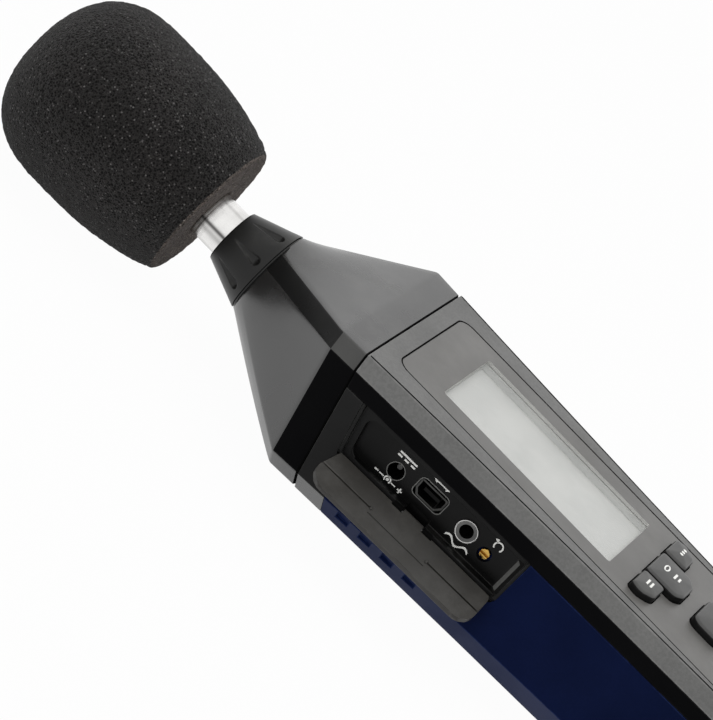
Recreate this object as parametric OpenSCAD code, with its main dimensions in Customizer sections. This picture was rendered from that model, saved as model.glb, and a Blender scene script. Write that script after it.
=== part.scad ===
// Handheld sound level meter with a foam windscreen, lying on its back.
// Millimetres: X to the right across the display, Y towards the microphone, Z out of the display.
// The origin is the mouth of the tripod thread, in the middle of the flat back.

/* [Case] */
// From the tripod thread up to the seam between case and nose, at the display face
seam_y = 75; // [70:1:80]
// From that seam down to the tail
case_len = 164; // [158:1:172]
// Width across the side walls at the seam
shoulder_w = 74.8; // [73:0.2:77]
// From the display face to the flat back
case_depth = 38; // [37:0.5:40]
// Bevel round the display face
face_bevel = 3.7; // [3:0.1:4.5]
// How much each side draws in per millimetre, just below the seam
side_taper = 0.088; // [0.08:0.002:0.092]
// How much of that taper fades with each millimetre
side_fade = 0.00022; // [0.0002:0.00001:0.00024]
// Radius of the tail's corners, seen from the front
tail_radius = 16; // [12:1:20]
// Lean of the seam: its back edge is nearer the tail
seam_lean = 13; // [8:1:16]
// Depth of the front case, from the display face to the split line
front_depth = 8.2; // [7.5:0.1:9]
// Thickness of the case walls, grip skin included
wall = 2.6; // [2.2:0.1:3]
// Thickness of the soft grip moulded over the rear case
skin = 1.2; // [0.8:0.1:1.4]
// Length of bare rear case between the seam and the soft grip
bare_band = 8.4; // [7:0.2:10]

/* [Microphone] */
// Height of the microphone's axis over the back
axis_z = 19.6; // [18.5:0.1:20.5]
// Length of the nose, from the seam to the collar
nose_len = 34.3; // [30:0.1:38]
// Straight part of the nose next to the seam
skirt_len = 8.2; // [6:0.1:10]
// Radius where nose and collar meet
collar_r = 12; // [11:0.1:13]
// Length of the fluted collar
collar_len = 12.9; // [11:0.1:15]
// Radius of the collar's small end
collar_tip_r = 7.25; // [7:0.05:8]
// Flutes round the collar
flutes = 8; // [6:1:12]
// Radius of the steel microphone tube
tube_r = 6.35; // [6.35:0.05:6.6]

/* [Windscreen] */
// Length of the foam
foam_len = 59; // [50:1:70]
// Largest radius of the foam
foam_r = 25; // [22:0.5:28]
// Radius of the foam's foot
foam_foot_r = 19.6; // [18:0.2:21]
// Bare tube between collar and foam
foam_gap = 7.8; // [5:0.1:10]
// How deep the microphone goes into the foam
foam_bore_depth = 26; // [25:1:40]

/* [Display and keys] */
// Width of the inset label
label_w = 47.4; // [45:0.2:48]
// From the seam to the label's top edge
label_top = 5.4; // [4:0.2:8]
// From the seam to the label's lower edge
label_end = 132; // [128:1:138]
// Width of the display window
window_w = 34; // [32:0.2:36]
// Length of the display window
window_len = 55.8; // [52:0.2:58]
// From the seam to the window's top edge
window_top = 17.5; // [15:0.5:20]
// How far the keys stand over the label
key_rise = 2.4; // [1.5:0.1:3]
// Travel of a key
key_travel = 0.8; // [0.5:0.1:1]

/* [Ports] */
// Length of the port recess along the side
recess_len = 52.5; // [50:0.5:54]
// Depth of the port recess
recess_depth = 4.5; // [4:0.1:6]
// Thickness of the hinged flap
flap_t = 1.6; // [1.2:0.1:1.8]
// How far the flap stands open
flap_open = 114; // [100:1:120]

/* [Fasteners and battery] */
// Radius of the tripod thread, at its crests
tripod_r = 2.6; // [2.5:0.05:2.8]
// Depth of the tripod thread
tripod_len = 9; // [7:0.5:10]
// Length, width and thickness of the block battery
battery_size = [26.5, 48.5, 17.5];

/* [Hidden] */

$fn = 64;
tail_y = seam_y - case_len;
split_z = case_depth - front_depth;
nose_y = seam_y + nose_len;
collar_tip_y = nose_y + collar_len;
foam_y = collar_tip_y + foam_gap;
lean = tan(seam_lean);
far = 300;
slip = 0.3;

grey = [0.45, 0.45, 0.44];
dark = [0.22, 0.22, 0.22];
black = [0.08, 0.08, 0.08];
blue = [0.07, 0.11, 0.27];
steel = [0.80, 0.80, 0.79];
brass = [0.76, 0.57, 0.22];
green = [0.10, 0.35, 0.18];

// Outlines and lofts

function unit(v) = v / norm(v);

// Points of an arc that rounds the corner at p between the points before and after it
function corner(before, p, after, r, steps = 5) =
  let (a = unit(before - p), b = unit(after - p), half = acos(a * b) / 2)
  let (centre = p + unit(a + b) * r / sin(half), run = r / tan(half))
  [for (i = [0:steps])
    centre + r * unit((p + a * run) * (1 - i / steps) + (p + b * run) * i / steps - centre)];

// A closed outline with each corner rounded by its own radius, zero for a sharp one
function rounded(points, radii) =
  let (n = len(points))
  [for (i = [0:n - 1]) each radii[i] == 0
    ? [points[i]]
    : corner(points[(i + n - 1) % n], points[i], points[(i + 1) % n], radii[i])];

// A rectangle between two corners, rounded by r
function plate(low, high, r) =
  rounded([low, [high.x, low.y], high, [low.x, high.y]], [r, r, r, r]);

function middle(ring) = [for (k = [0:2]) (min([for (p = ring) p[k]]) + max([for (p = ring) p[k]])) / 2];

// A solid through a row of rings that all have the same number of points
module loft(rings) {
  n = len(rings[0]);
  count = len(rings) * n;
  last = count - n;
  sides = [for (j = [0:len(rings) - 2]) for (i = [0:n - 1]) each
    let (a = j * n + i, b = j * n + (i + 1) % n)
    [[a, a + n, b], [a + n, b + n, b]]];
  caps = [for (i = [0:n - 1]) each
    let (j = (i + 1) % n)
    [[i, j, count], [last + j, last + i, count + 1]]];
  ends = [middle(rings[0]), middle(rings[len(rings) - 1])];
  polyhedron(concat([for (ring = rings) each ring], ends), concat(sides, caps), convexity = 8);
}

// A flat outline, given in x and y, raised between two heights
module slab(outline, low, high) {
  translate([0, 0, low])
    linear_extrude(high - low)
      polygon(outline);
}

// A cylinder along Y
module rod(r, y, length, x = 0, z = 0) {
  translate([x, y, z])
    rotate([-90, 0, 0])
      cylinder(r = r, h = length);
}

// Form of the case

function below_seam(y) = seam_y - y;
function half_width(y) =
  shoulder_w / 2 - side_taper * below_seam(y) + side_fade * pow(below_seam(y), 2);
function back_run(y) = 4.2 + 0.018 * below_seam(y);
function back_rise(y) = 4.9 + 0.022 * below_seam(y);

// Eight-sided section of the case, drawn in by inset on every side
function section(s, y_low, y_lean, inset, end, y_ref) =
  let (top = case_depth - inset - end, foot = inset + end)
  let (run = back_run(y_ref), rise = back_rise(y_ref))
  [for (p = [
    [-s + face_bevel, top], [s - face_bevel, top], [s, top - face_bevel], [s, foot + rise],
    [s - run, foot], [-s + run, foot], [-s, foot + rise], [-s, top - face_bevel]
  ]) [p.x, y_low + y_lean * (p.y - case_depth), p.y]];

// One ring of the case, at a distance from the tail
function case_ring(from_tail, inset) =
  let (y = tail_y + inset + from_tail, back = max(0, tail_radius - from_tail))
  let (draw = tail_radius - sqrt(pow(tail_radius, 2) - pow(back, 2)))
  section(half_width(y) - draw - inset, y, 0, inset, max(0, face_bevel - from_tail), y);

module case_form(inset) {
  bend = [for (a = [0:15:90]) tail_radius * (1 - cos(a))];
  runs = [for (i = [1:8]) tail_radius + (case_len + 8 - tail_radius) * i / 8];
  loft([for (d = concat(bend, runs)) case_ring(d, inset)]);
}

// Everything on the tail side of a plane that leans as the seam does
module tail_side(drop) {
  translate([0, seam_y - drop, case_depth])
    rotate([-seam_lean, 0, 0])
      translate([-far, -2 * far, -far])
        cube([2 * far, 2 * far, 2 * far]);
}

module over_split(z = split_z) {
  translate([-far, -far, z])
    cube([2 * far, 2 * far, far]);
}

module front_form(inset, past = 0) {
  intersection() {
    case_form(inset);
    tail_side(-past);
    over_split();
  }
}

module rear_form(inset, past = 0) {
  difference() {
    intersection() {
      case_form(inset);
      tail_side(-past);
    }
    over_split();
  }
}

// Places on the display face, counted down from the seam

function face_y(drop) = seam_y - drop;
label_t = 0.6;
label_gap = 0.15;
label_z = case_depth - 0.3 - label_t;
pane_z = label_z - 0.5;
window_low = [-window_w / 2, face_y(window_top + window_len)];
window_high = [window_w / 2, face_y(window_top)];
frame_rim = 1.1;

function grown(p, by) = [p.x + by, p.y + by];
function label_outline(by) =
  plate(grown([-label_w / 2, face_y(label_end)], -by), grown([label_w / 2, face_y(label_top)], by),
    3.5 + by);
function window_outline(by) = plate(grown(window_low, -by), grown(window_high, by), 0.8 + by);

// Keys: two rows of three and one key between the rows

row_drop = [79.9, 95.9, 114.5];
row_reach = [7.5, 10.8, 8.2];
middle_reach = 12.2;
side_in = 8.2;
side_out = 20.4;
key_waist = 7.6;

// Side key: straight towards the middle key, round on the outside
function side_key(row, hand, by) =
  let (top = face_y(row_drop[row]) + by, low = face_y(row_drop[row] + row_reach[row]) - by)
  let (a = side_in - by, b = side_out + by)
  let (outline = rounded([[a, low], [b - 3, low], [b, top - 3], [b - 1.2, top], [a, top]],
    [1, 3.2 + by, 3 + by, 1.6 + by, 1]))
  hand > 0 ? outline : [for (i = [len(outline) - 1:-1:0]) [-outline[i].x, outline[i].y]];

// Middle key: longer, with both ends round
function middle_key(row, by) =
  let (reach = row == 1 ? row_reach[1] : middle_reach, w = row == 1 ? 8.7 : key_waist)
  let (top = face_y(row_drop[row] - (row == 2 ? middle_reach - row_reach[2] : 0)) + by)
  let (low = top - reach - 2 * by, half = w + by)
  rounded([[-half, low + 2], [-half + 3, low], [half - 3, low], [half, low + 2], [half, top], [-half, top]],
    [2.4, 2.4, 2.4, 2.4, row == 1 ? 3 : 1, row == 1 ? 3 : 1]);

key_gap = 0.3;
key_foot_z = case_depth - wall - slip - 0.9;
key_outlines = [for (by = [0, key_gap]) [
  side_key(0, -1, by - 0.35), middle_key(0, by - 0.35), side_key(0, 1, by - 0.35), middle_key(1, by - 0.35),
  side_key(2, -1, by - 0.35), middle_key(2, by - 0.35), side_key(2, 1, by - 0.35)]];

function centre_of(points) =
  [for (k = [0, 1]) (min([for (p = points) p[k]]) + max([for (p = points) p[k]])) / 2];

// The same outline drawn in towards its own middle, raised to a height
function drawn_in(points, by, z) =
  let (c = centre_of(points), size = norm(points[0] - c))
  [for (p = points) let (q = c + (p - c) * (1 - by / size)) [q.x, q.y, z]];

module key(i) {
  cap = key_outlines[0][i];
  top = case_depth + key_rise;
  color(grey) {
    loft([drawn_in(cap, 0, key_foot_z), drawn_in(cap, 0, top - 0.9),
      drawn_in(cap, 0.3, top - 0.3), drawn_in(cap, 1, top)]);
    slab(plate(centre_of(cap) - [4.2, 3], centre_of(cap) + [4.2, 3], 1),
      key_foot_z - key_travel / 2, key_foot_z);
  }
}

module key_holes() {
  for (outline = key_outlines[1])
    slab(outline, case_depth - 2 * wall, case_depth + 1);
}

// Screws that hold the halves together

screw_places = [[-23.5, 60.3], [23.5, 60.3], [-22, -21], [22, -21]];
screw_r = 1.25;
screw_head_r = 2.5;
boss_r = 3.4;
post_z = 24;

module at_screws() {
  for (p = screw_places)
    translate([p.x, p.y, 0])
      children();
}

// Places on the port side. The side wall there turns away from Y, so the ports have a frame of their
// own: x runs into the case from the wall, y along the wall towards the microphone, z is unchanged.

port_mid = seam_y - 34.5;
port_turn = atan((half_width(port_mid + 26) - half_width(port_mid - 26)) / 52);
port_wall_x = half_width(port_mid);

module at_ports() {
  translate([-port_wall_x, port_mid, 0])
    rotate([0, 0, port_turn])
      children();
}

// An outline in y and z of the port frame, cut to a depth from the wall
module port_slab(outline, low, high) {
  translate([low, 0, 0])
    rotate([90, 0, 90])
      linear_extrude(high - low)
        polygon(outline);
}

recess_foot = 15.2;
recess_slope = 0.25;
rim = 0.9;
ledge = 1.8;

// The recess is open up to the split, square at the tail end and slanted at the other end
function recess(by, top, foot_r, top_r = 0) =
  let (foot = recess_foot + by, tail = -recess_len / 2 + by + 0.2, nose = recess_len / 2 - by)
  let (slant = function (z) nose + recess_slope * (z - split_z + rim))
  rounded([[tail, foot], [slant(foot), foot], [slant(top), top], [tail, top]],
    [foot_r, foot_r, top_r, top_r]);

recess_cut = recess(-rim, split_z + 1, 3.4);

bezel_back = recess_depth + 1.6;
hinge_x = 0.3;
hinge_z = recess_foot + 1.3;
knuckle_r = 1.1;
knuckle_len = 6;
pin_r = 0.5;

// Ports: place along the wall, height, on the plate at the foot of the recess
supply_at = [10.8, 21.1];
usb_at = [0.9, 22.7];
output_at = [-10.9, 22.8];
trimmer_at = [-17.6, 21.5];

module into_plate(at, r, low, length) {
  translate([low, at.x, at.y])
    rotate([0, 90, 0])
      cylinder(r = r, h = length);
}

// The flap, drawn closed in the port frame and turned open about its pin

flap_low = 0.9;
flap_gap = 0.35;
ear_len = 2.8;
ear_y = knuckle_len / 2 + slip + ear_len / 2;

module flap_turn(angle) {
  translate([hinge_x, 0, hinge_z])
    rotate([0, -angle, 0])
      translate([-hinge_x, 0, -hinge_z])
        children();
}

module flap_plate() {
  mouth = recess(flap_gap, split_z - flap_gap, 4, 4.5);
  difference() {
    intersection() {
      port_slab(mouth, 0, flap_t);
      translate([-1, -far / 2, hinge_z + flap_low])
        cube([flap_t + 2, far, far]);
    }
    for (hand = [-1, 1])
      translate([-1, hand * ear_y - ear_len / 2 - slip, hinge_z])
        cube([flap_t + 2, ear_len + 2 * slip, knuckle_r + 0.4]);
  }
}

// Battery bay

cover_t = 2.4;
cover_y = tail_y + 11;
cover_len = 64.5;
cover_w = 33;
cover_screw_y = cover_y + 4;
cover_screw_r = 1.3;
bay_y = cover_y + 8.5;
bay_len = battery_size.y + 6.5;
bay_w = battery_size.x + 1;
bay_wall = 1.5;
bay_roof = cover_t + battery_size.z + 1.3;

function cover_outline(by) =
  plate([-cover_w / 2 - by, cover_y - by], [cover_w / 2 + by, cover_y + cover_len + by], 4);

// Case pieces

module front_case() {
  color(grey)
    difference() {
      union() {
        difference() {
          front_form(0);
          front_form(wall, past = 5);
        }
        at_screws()
          translate([0, 0, post_z])
            cylinder(r = boss_r, h = case_depth - wall - post_z + 0.5);
      }
      slab(label_outline(label_gap), label_z, case_depth + 1);
      slab(window_outline(1.8), pane_z, case_depth + 1);
      slab(window_outline(frame_rim + 0.2), case_depth - 2 * wall, case_depth + 1);
      key_holes();
      at_screws()
        cylinder(r = screw_r, h = case_depth - wall - 1);
    }
}

module rear_case() {
  color(dark)
    difference() {
      union() {
        difference() {
          union() {
            rear_form(skin);
            difference() {
              rear_form(0);
              tail_side(bare_band);
            }
          }
          rear_form(wall, past = 5);
        }
        at_screws()
          translate([0, 0, skin])
            cylinder(r = boss_r, h = post_z - skin);
        translate([0, 0, skin])
          cylinder(r = 6.5, h = tripod_len + 1.5);
        translate([-bay_w / 2 - bay_wall, bay_y - bay_wall, skin])
          cube([bay_w + 2 * bay_wall, bay_len + 2 * bay_wall, bay_roof + bay_wall - skin]);
        translate([0, cover_screw_y, skin])
          cylinder(r = 3, h = 9);
      }
      at_screws() {
        cylinder(r = screw_r + 0.35, h = post_z + 1);
        translate([0, 0, -1])
          cylinder(r = screw_head_r + 0.3, h = 4.4);
      }
      translate([0, 0, -1])
        cylinder(r = 4.2, h = tripod_len + 1);
      at_ports()
        port_slab(recess_cut, -2, bezel_back + 3);
      slab(cover_outline(0.3), -1, cover_t);
      translate([-bay_w / 2, bay_y, -1])
        cube([bay_w, bay_len, bay_roof + 1]);
      translate([0, cover_screw_y, 0])
        cylinder(r = cover_screw_r + 0.1, h = 8);
    }
}

// Soft grip over the rear case, with a row of thumb recesses on each back bevel
module grip_form() {
  difference() {
    intersection() {
      difference() {
        rear_form(0);
        rear_form(skin);
      }
      tail_side(bare_band);
    }
    for (i = [0:3])
      for (hand = [-1, 1])
        thumb_recess(i, hand);
    at_screws()
      translate([0, 0, -1])
        cylinder(r = screw_head_r + 0.3, h = 4);
    translate([0, 0, -1])
      cylinder(r = 4.2, h = 4);
    at_ports()
      port_slab(recess_cut, -2, bezel_back);
    slab(cover_outline(0.3), -1, cover_t);
  }
}

// The grip has two lengths, which meet beside the tail end of the port recess
grip_joint_y = port_mid - recess_len / 2 + 0.3;

module grip_skin() {
  color(blue)
    intersection() {
      grip_form();
      translate([-far, grip_joint_y - 2 * far, -far])
        cube(2 * far);
    }
}

module grip_fore() {
  color(blue)
    intersection() {
      grip_form();
      translate([-far, grip_joint_y, -far])
        cube(2 * far);
    }
}

module thumb_recess(i, hand) {
  size = [3, 3.5, 3.5];
  deep = 0.8;
  y = seam_y - 22.5 - 7.1 * i;
  edge = norm([back_run(y), back_rise(y)]) / 2;
  translate([hand * (half_width(y) - back_run(y) / 2), y, back_rise(y) / 2])
    rotate([0, 0, hand > 0 ? 0 : 180])
      rotate([0, atan(back_run(y) / back_rise(y)), 0])
        translate([-deep, -size.y / 2, edge - size.z + 0.2])
          cube(size);
}

// Nose: eight flat sides that run into the round collar. The bevels open out on the way, so each edge
// of the section ends at its own angle round the collar.

edge_angles = [130, 50, 25, -25, -50, -130, -155, -205, -230];
edge_steps = 6;

function along(ring, steps) =
  [for (i = [0:len(ring) - 1]) for (k = [0:steps - 1])
    ring[i] + (ring[(i + 1) % len(ring)] - ring[i]) * k / steps];

function nose_ring(drop, inset, y) =
  along(section(half_width(y) - inset, seam_y + drop, lean, inset, 0, y), edge_steps);

function round_ring(y, r) =
  [for (i = [0:7]) for (k = [0:edge_steps - 1])
    let (a = edge_angles[i] + (edge_angles[i + 1] - edge_angles[i]) * k / edge_steps)
    [r * cos(a), y, axis_z + r * sin(a)]];

module nose_form(inset, top_y, r, drop) {
  crease = nose_ring(skirt_len, inset, seam_y + skirt_len);
  top = round_ring(top_y, r);
  loft(concat([nose_ring(drop, inset, seam_y)], [for (t = [0:0.2:1]) crease * (1 - t) + top * t]));
}

nose_proud = 0.35;
nose_wall = 2.4;
// The spigot enters the case and clears its lowest section there
spigot_len = 3;
spigot_slip = 0.15;
spigot_wall = 2.4;
spigot_y = seam_y - lean * case_depth - spigot_len;

module nose_cap() {
  color(dark)
    difference() {
      union() {
        nose_form(nose_proud, nose_y, collar_r, 0);
        loft([for (drop = [-spigot_len, 1]) nose_ring(drop, wall + spigot_slip, spigot_y)]);
      }
      difference() {
        nose_form(nose_wall + spigot_wall, nose_y - 4, collar_r - 3, -spigot_len - 1);
        translate([-far / 2, nose_y - 8, 0])
          cube([far, far, far]);
      }
      rod(tube_r, nose_y - 20, 40, z = axis_z);
    }
}

// Collar with flutes that are deep and round at the foot and run out towards the tip
module mic_collar() {
  slope = atan((collar_r - collar_tip_r) / collar_len);
  color(black)
    difference() {
      translate([0, nose_y, axis_z])
        rotate([-90, 0, 0])
          rotate_extrude($fn = 96)
            polygon([[tube_r, 0], [collar_r - 0.6, 0], [collar_r - 0.6, 0.5], [collar_r, 0.6],
              [collar_tip_r + 0.4, collar_len - 0.5], [collar_tip_r, collar_len], [tube_r, collar_len]]);
      for (i = [0:flutes - 1])
        translate([0, nose_y, axis_z])
          rotate([0, 360 * (i + 0.5) / flutes, 0])
            translate([0, 3.4, collar_r - 0.45])
              rotate([-90 - slope, 0, 0])
                flute();
    }
}

module flute() {
  foot_r = 1.5;
  tip_r = 0.5;
  sphere(r = foot_r, $fn = 32);
  cylinder(r1 = foot_r, r2 = tip_r, h = collar_len - 2, $fn = 32);
}

tube_len = 36;
capsule_y = nose_y - 6 + tube_len;
capsule_len = 14;

module mic_tube() {
  color(steel)
    difference() {
      rod(tube_r, nose_y - 6, tube_len, z = axis_z);
      rod(tube_r - 1, nose_y - 7, tube_len - 3, z = axis_z);
    }
}

module mic_capsule() {
  color(steel)
    translate([0, capsule_y, axis_z])
      rotate([-90, 0, 0])
        rotate_extrude()
          polygon([[0, 0], [tube_r - 0.4, 0], [tube_r - 0.4, 1], [tube_r, 1.4], [tube_r, capsule_len - 3],
            [tube_r - 0.5, capsule_len - 3], [tube_r - 0.5, capsule_len - 1], [0, capsule_len - 1]]);
}

// Protecting grid: a cap with a ring of slots
module mic_grid() {
  color(steel)
    translate([0, capsule_y + capsule_len - 3, axis_z])
      rotate([-90, 0, 0])
        difference() {
          cylinder(r = tube_r, h = 3.6);
          translate([0, 0, -1])
            cylinder(r = tube_r - 0.5, h = 3.8);
          for (i = [0:5])
            rotate([0, 0, 60 * i])
              translate([1.4, -0.4, 2])
                cube([3.4, 0.8, 3]);
        }
}

// Foam: a barrel that swells from its foot and closes in a full dome
foam_waist = 35;

function foam_radius(y) = y < foam_waist
  ? foam_r - (foam_r - foam_foot_r) * pow((foam_waist - y) / foam_waist, 2.2)
  : foam_r * pow(max(0, 1 - pow((y - foam_waist) / (foam_len - foam_waist), 2.55)), 1 / 2.55);

module windscreen() {
  foot = 1.6;
  bore_r = tube_r + 0.25;
  barrel = [for (y = [foot:3.2:foam_waist]) [foam_radius(y), y]];
  dome = [for (a = [0:7.5:90]) let (y = foam_waist + (foam_len - foam_waist) * sin(a)) [foam_radius(y), y]];
  color(black)
    translate([0, foam_y, axis_z])
      rotate([-90, 0, 0])
        rotate_extrude($fn = 96)
          polygon(concat([[bore_r, 0], [foam_foot_r - foot, 0]], barrel, dome,
            [[0, foam_bore_depth], [bore_r, foam_bore_depth]]));
}

// Label, display and boards

module label_panel() {
  color(grey)
    difference() {
      slab(label_outline(0), label_z, label_z + label_t);
      slab(window_outline(0), label_z - 1, case_depth + 1);
      key_holes();
    }
}

module display_window() {
  color([0.8, 0.83, 0.83, 0.3])
    slab(window_outline(1.7), pane_z, label_z);
}

glass_z = case_depth - 3;

module display_frame() {
  color([0.66, 0.66, 0.65])
    difference() {
      slab(window_outline(frame_rim), glass_z - 2, pane_z);
      slab(window_outline(0), glass_z - 3, pane_z + 1);
    }
}

module display_glass() {
  color([0.77, 0.78, 0.76])
    slab(window_outline(-0.05), glass_z - 1.9, glass_z);
}

board_z = glass_z - 5;
board_t = 1.6;

module main_board() {
  color(green)
    difference() {
      slab(plate([-24, face_y(label_end - 2)], [24, face_y(10)], 2), board_z, board_z + board_t);
      at_screws()
        translate([0, 0, board_z - 1])
          cylinder(r = boss_r + 0.5, h = board_t + 2);
    }
}

module keypad_mat() {
  low = board_z + board_t;
  color(dark)
    difference() {
      slab(plate([-22.5, face_y(128)], [22.5, face_y(78.5)], 2), low, key_foot_z - key_travel * 1.5 - slip);
      at_screws()
        cylinder(r = boss_r + 0.5, h = case_depth);
    }
}

// The microphone's amplifier stands in the nose, behind the tube
module preamp_board() {
  color(green)
    translate([-7, seam_y - 2, axis_z - board_t / 2])
      cube([14, nose_y - 8 - seam_y, board_t]);
}

// Ports

// Height of the slot behind the flap's knuckle
slot_rise = 2.7;

module port_bezel() {
  color(black)
    at_ports()
      difference() {
        union() {
          difference() {
            port_slab(recess(-rim, split_z, 3.4), 0, bezel_back);
            port_slab(recess(0, split_z + 1, 3), -1, flap_t + slip);
            port_slab(recess(ledge, split_z - ledge, 2.2, 2.2), -1, recess_depth);
          }
          for (hand = [-1, 1])
            translate([0, hand * ear_y, 0])
              hinge_ear();
        }
        translate([-1, -knuckle_len / 2 - slip, recess_foot - 0.6])
          cube([hinge_x + knuckle_r + slip + 1, knuckle_len + 2 * slip, 2 * knuckle_r + 1.2]);
        translate([0, -knuckle_len / 2 - slip, recess_foot])
          cube([recess_depth + 1, knuckle_len + 2 * slip, slot_rise]);
        tail_ramp();
        rod(pin_r, -far / 2, far, hinge_x, hinge_z);
        into_plate(supply_at, 2.15, 0, far / 10);
        into_plate(output_at, 3, 0, far / 10);
        into_plate(trimmer_at, 1.9, 0, far / 10);
        port_slab(plate(usb_at - [4.3, 2.5], usb_at + [4.3, 2.5], 1.2), 0, far / 10);
      }
}

// Cut that slopes the tail end of the recess from the flap's seat down to the plate
module tail_ramp() {
  tail = -recess_len / 2 + 0.2;
  seat = flap_t + slip;
  foot = recess_foot + ledge;
  end = tail + ledge + 2.2;
  translate([0, 0, foot])
    linear_extrude(split_z - ledge - foot)
      polygon([[seat, tail], [seat - 1, tail], [seat - 1, end], [recess_depth, end],
        [recess_depth, tail + ledge]]);
}

// An ear beside the flap's knuckle, standing on the foot of the recess
module hinge_ear() {
  rod(knuckle_r, -ear_len / 2, ear_len, hinge_x, hinge_z);
  translate([0, -ear_len / 2, recess_foot - 0.5])
    cube([hinge_x + knuckle_r, ear_len, hinge_z - recess_foot + 0.5]);
}

jack_len = 10;
pin_tip = recess_depth + 3.2;

module supply_jack() {
  color(black)
    at_ports()
      difference() {
        translate([bezel_back, supply_at.x - 4.5, supply_at.y - 5])
          cube([jack_len, 9, 10]);
        into_plate(supply_at, 2.15, bezel_back - 1, jack_len);
      }
}

module supply_pin() {
  color(steel)
    at_ports()
      into_plate(supply_at, 0.65, pin_tip, bezel_back + jack_len - 1 - pin_tip);
}

function usb_outline(by) =
  rounded([for (p = [[-2.6, -1.9], [2.6, -1.9], [3.8, -0.4], [3.8, 1.9], [-3.8, 1.9], [-3.8, -0.4]])
    usb_at + [p.x + sign(p.x) * by, p.y + sign(p.y) * by]], [0.5, 0.5, 0.5, 0.5, 0.5, 0.5]);

module usb_shell() {
  color(steel)
    at_ports()
      difference() {
        port_slab(usb_outline(0.3), recess_depth - 0.4, bezel_back + jack_len);
        port_slab(usb_outline(-0.1), recess_depth - 1, bezel_back + jack_len - 1);
      }
}

module usb_tongue() {
  color(black)
    at_ports()
      translate([recess_depth + 0.3, usb_at.x - 2.3, usb_at.y - 0.2])
        cube([bezel_back + jack_len - 1 - recess_depth - 0.3, 4.6, 0.9]);
}

module output_jack() {
  color(black)
    at_ports()
      difference() {
        union() {
          into_plate(output_at, 2.6, recess_depth - 0.6, bezel_back - recess_depth + 1);
          translate([bezel_back, output_at.x - 4, output_at.y - 4])
            cube([jack_len, 8, 8]);
        }
        into_plate(output_at, 1.8, 0, bezel_back + jack_len - 1);
      }
}

module output_ring() {
  color(steel)
    at_ports()
      difference() {
        into_plate(output_at, 2.95, recess_depth - 0.9, bezel_back - recess_depth + 0.9);
        into_plate(output_at, 2.6, 0, far / 10);
      }
}

screw_cut = 0.5;

module trimmer_body() {
  color([0.15, 0.25, 0.55])
    at_ports()
      difference() {
        translate([bezel_back, trimmer_at.x - 2.4, trimmer_at.y - 3.2])
          cube([jack_len, 4.8, 6.4]);
        into_plate(trimmer_at, 1.3, bezel_back - 1, 4);
      }
}

module trimmer_screw() {
  color(brass)
    at_ports()
      difference() {
        into_plate(trimmer_at, 1.25, recess_depth + 0.2, bezel_back + 2.8 - recess_depth - 0.2);
        translate([recess_depth, trimmer_at.x - 2, trimmer_at.y - screw_cut / 2])
          cube([1, 4, screw_cut]);
      }
}

port_board_x = bezel_back + jack_len;

module port_board() {
  color(green)
    at_ports()
      translate([port_board_x, -22, 15.5])
        cube([board_t, 37, 12.5]);
}

grip_line = 7.1;
grip_step = 1.4;
grip_half = 9;

// Flap with a groove across its inner face, stepped out in the middle, and a knuckle on its foot
module port_flap() {
  color(dark)
    at_ports()
      flap_turn(flap_open)
        difference() {
          union() {
            flap_plate();
            rod(knuckle_r, -knuckle_len / 2, knuckle_len, hinge_x, hinge_z);
            translate([0, -knuckle_len / 2, hinge_z])
              cube([flap_t, knuckle_len, flap_low + 1]);
            for (hand = [-1, 1])
              translate([flap_t, hand * grip_half, hinge_z + grip_line])
                sphere(r = 0.5, $fn = 24);
          }
          rod(pin_r + 0.05, -far / 2, far, hinge_x, hinge_z);
          for (hand = [-1, 1])
            translate([flap_t - 0.6, hand > 0 ? grip_half : -far / 2, hinge_z + grip_line - 0.25])
              cube([1, far / 2 - grip_half, 0.5]);
          translate([flap_t - 0.3, -grip_half, hinge_z + grip_line + grip_step])
            cube([1, 2 * grip_half, 0.4]);
        }
}

module flap_pin() {
  color(steel)
    at_ports()
      rod(pin_r, -knuckle_len / 2 - 3, knuckle_len + 6, hinge_x, hinge_z);
}

// Back: tripod thread, screws and battery

module tripod_insert() {
  color(brass)
    difference() {
      cylinder(r = 4.2, h = tripod_len);
      translate([0, 0, -1])
        cylinder(r = tripod_r, h = tripod_len);
    }
}

module case_screws() {
  color(steel)
    at_screws()
      translate([0, 0, 1.4])
        difference() {
          union() {
            cylinder(r = screw_head_r, h = 2);
            cylinder(r = screw_r, h = post_z + 4);
          }
          for (turn = [0, 90])
            rotate([0, 0, turn])
              translate([-1.8, -0.4, -1])
                cube([3.6, 0.8, 2]);
        }
}

battery_low = [-battery_size.x / 2, bay_y + 1, cover_t + 0.8];

module battery() {
  color(dark) {
    translate(battery_low)
      cube(battery_size);
    for (hand = [-1, 1])
      rod(hand > 0 ? 2.8 : 3.4, battery_low.y + battery_size.y, 1.8,
        hand * 6.4, battery_low.z + battery_size.z / 2);
  }
}

module battery_clip() {
  color(black)
    difference() {
      translate([-12.5, battery_low.y + battery_size.y + 0.6, battery_low.z + 2])
        cube([25, 4, battery_size.z - 4]);
      for (hand = [-1, 1])
        rod(hand > 0 ? 2.8 : 3.4, battery_low.y, battery_size.y + 1.8, hand * 6.4,
          battery_low.z + battery_size.z / 2);
    }
}

module battery_cover() {
  color(blue)
    difference() {
      union() {
        slab(cover_outline(0), 0, cover_t - 0.3);
        for (hand = [-1, 1])
          translate([hand * 9 - 3, cover_y + cover_len - 5, cover_t - 0.4])
            cube([6, 3, 2]);
      }
      for (i = [0:5])
        translate([-10, cover_y + 40 + 2 * i, -1])
          cube([20, 0.9, 1.5]);
      translate([0, cover_screw_y, -1])
        cylinder(r = 1.6, h = 5);
      translate([0, cover_screw_y, -1])
        cylinder(r = 2.9, h = 2.1);
    }
}

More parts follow.
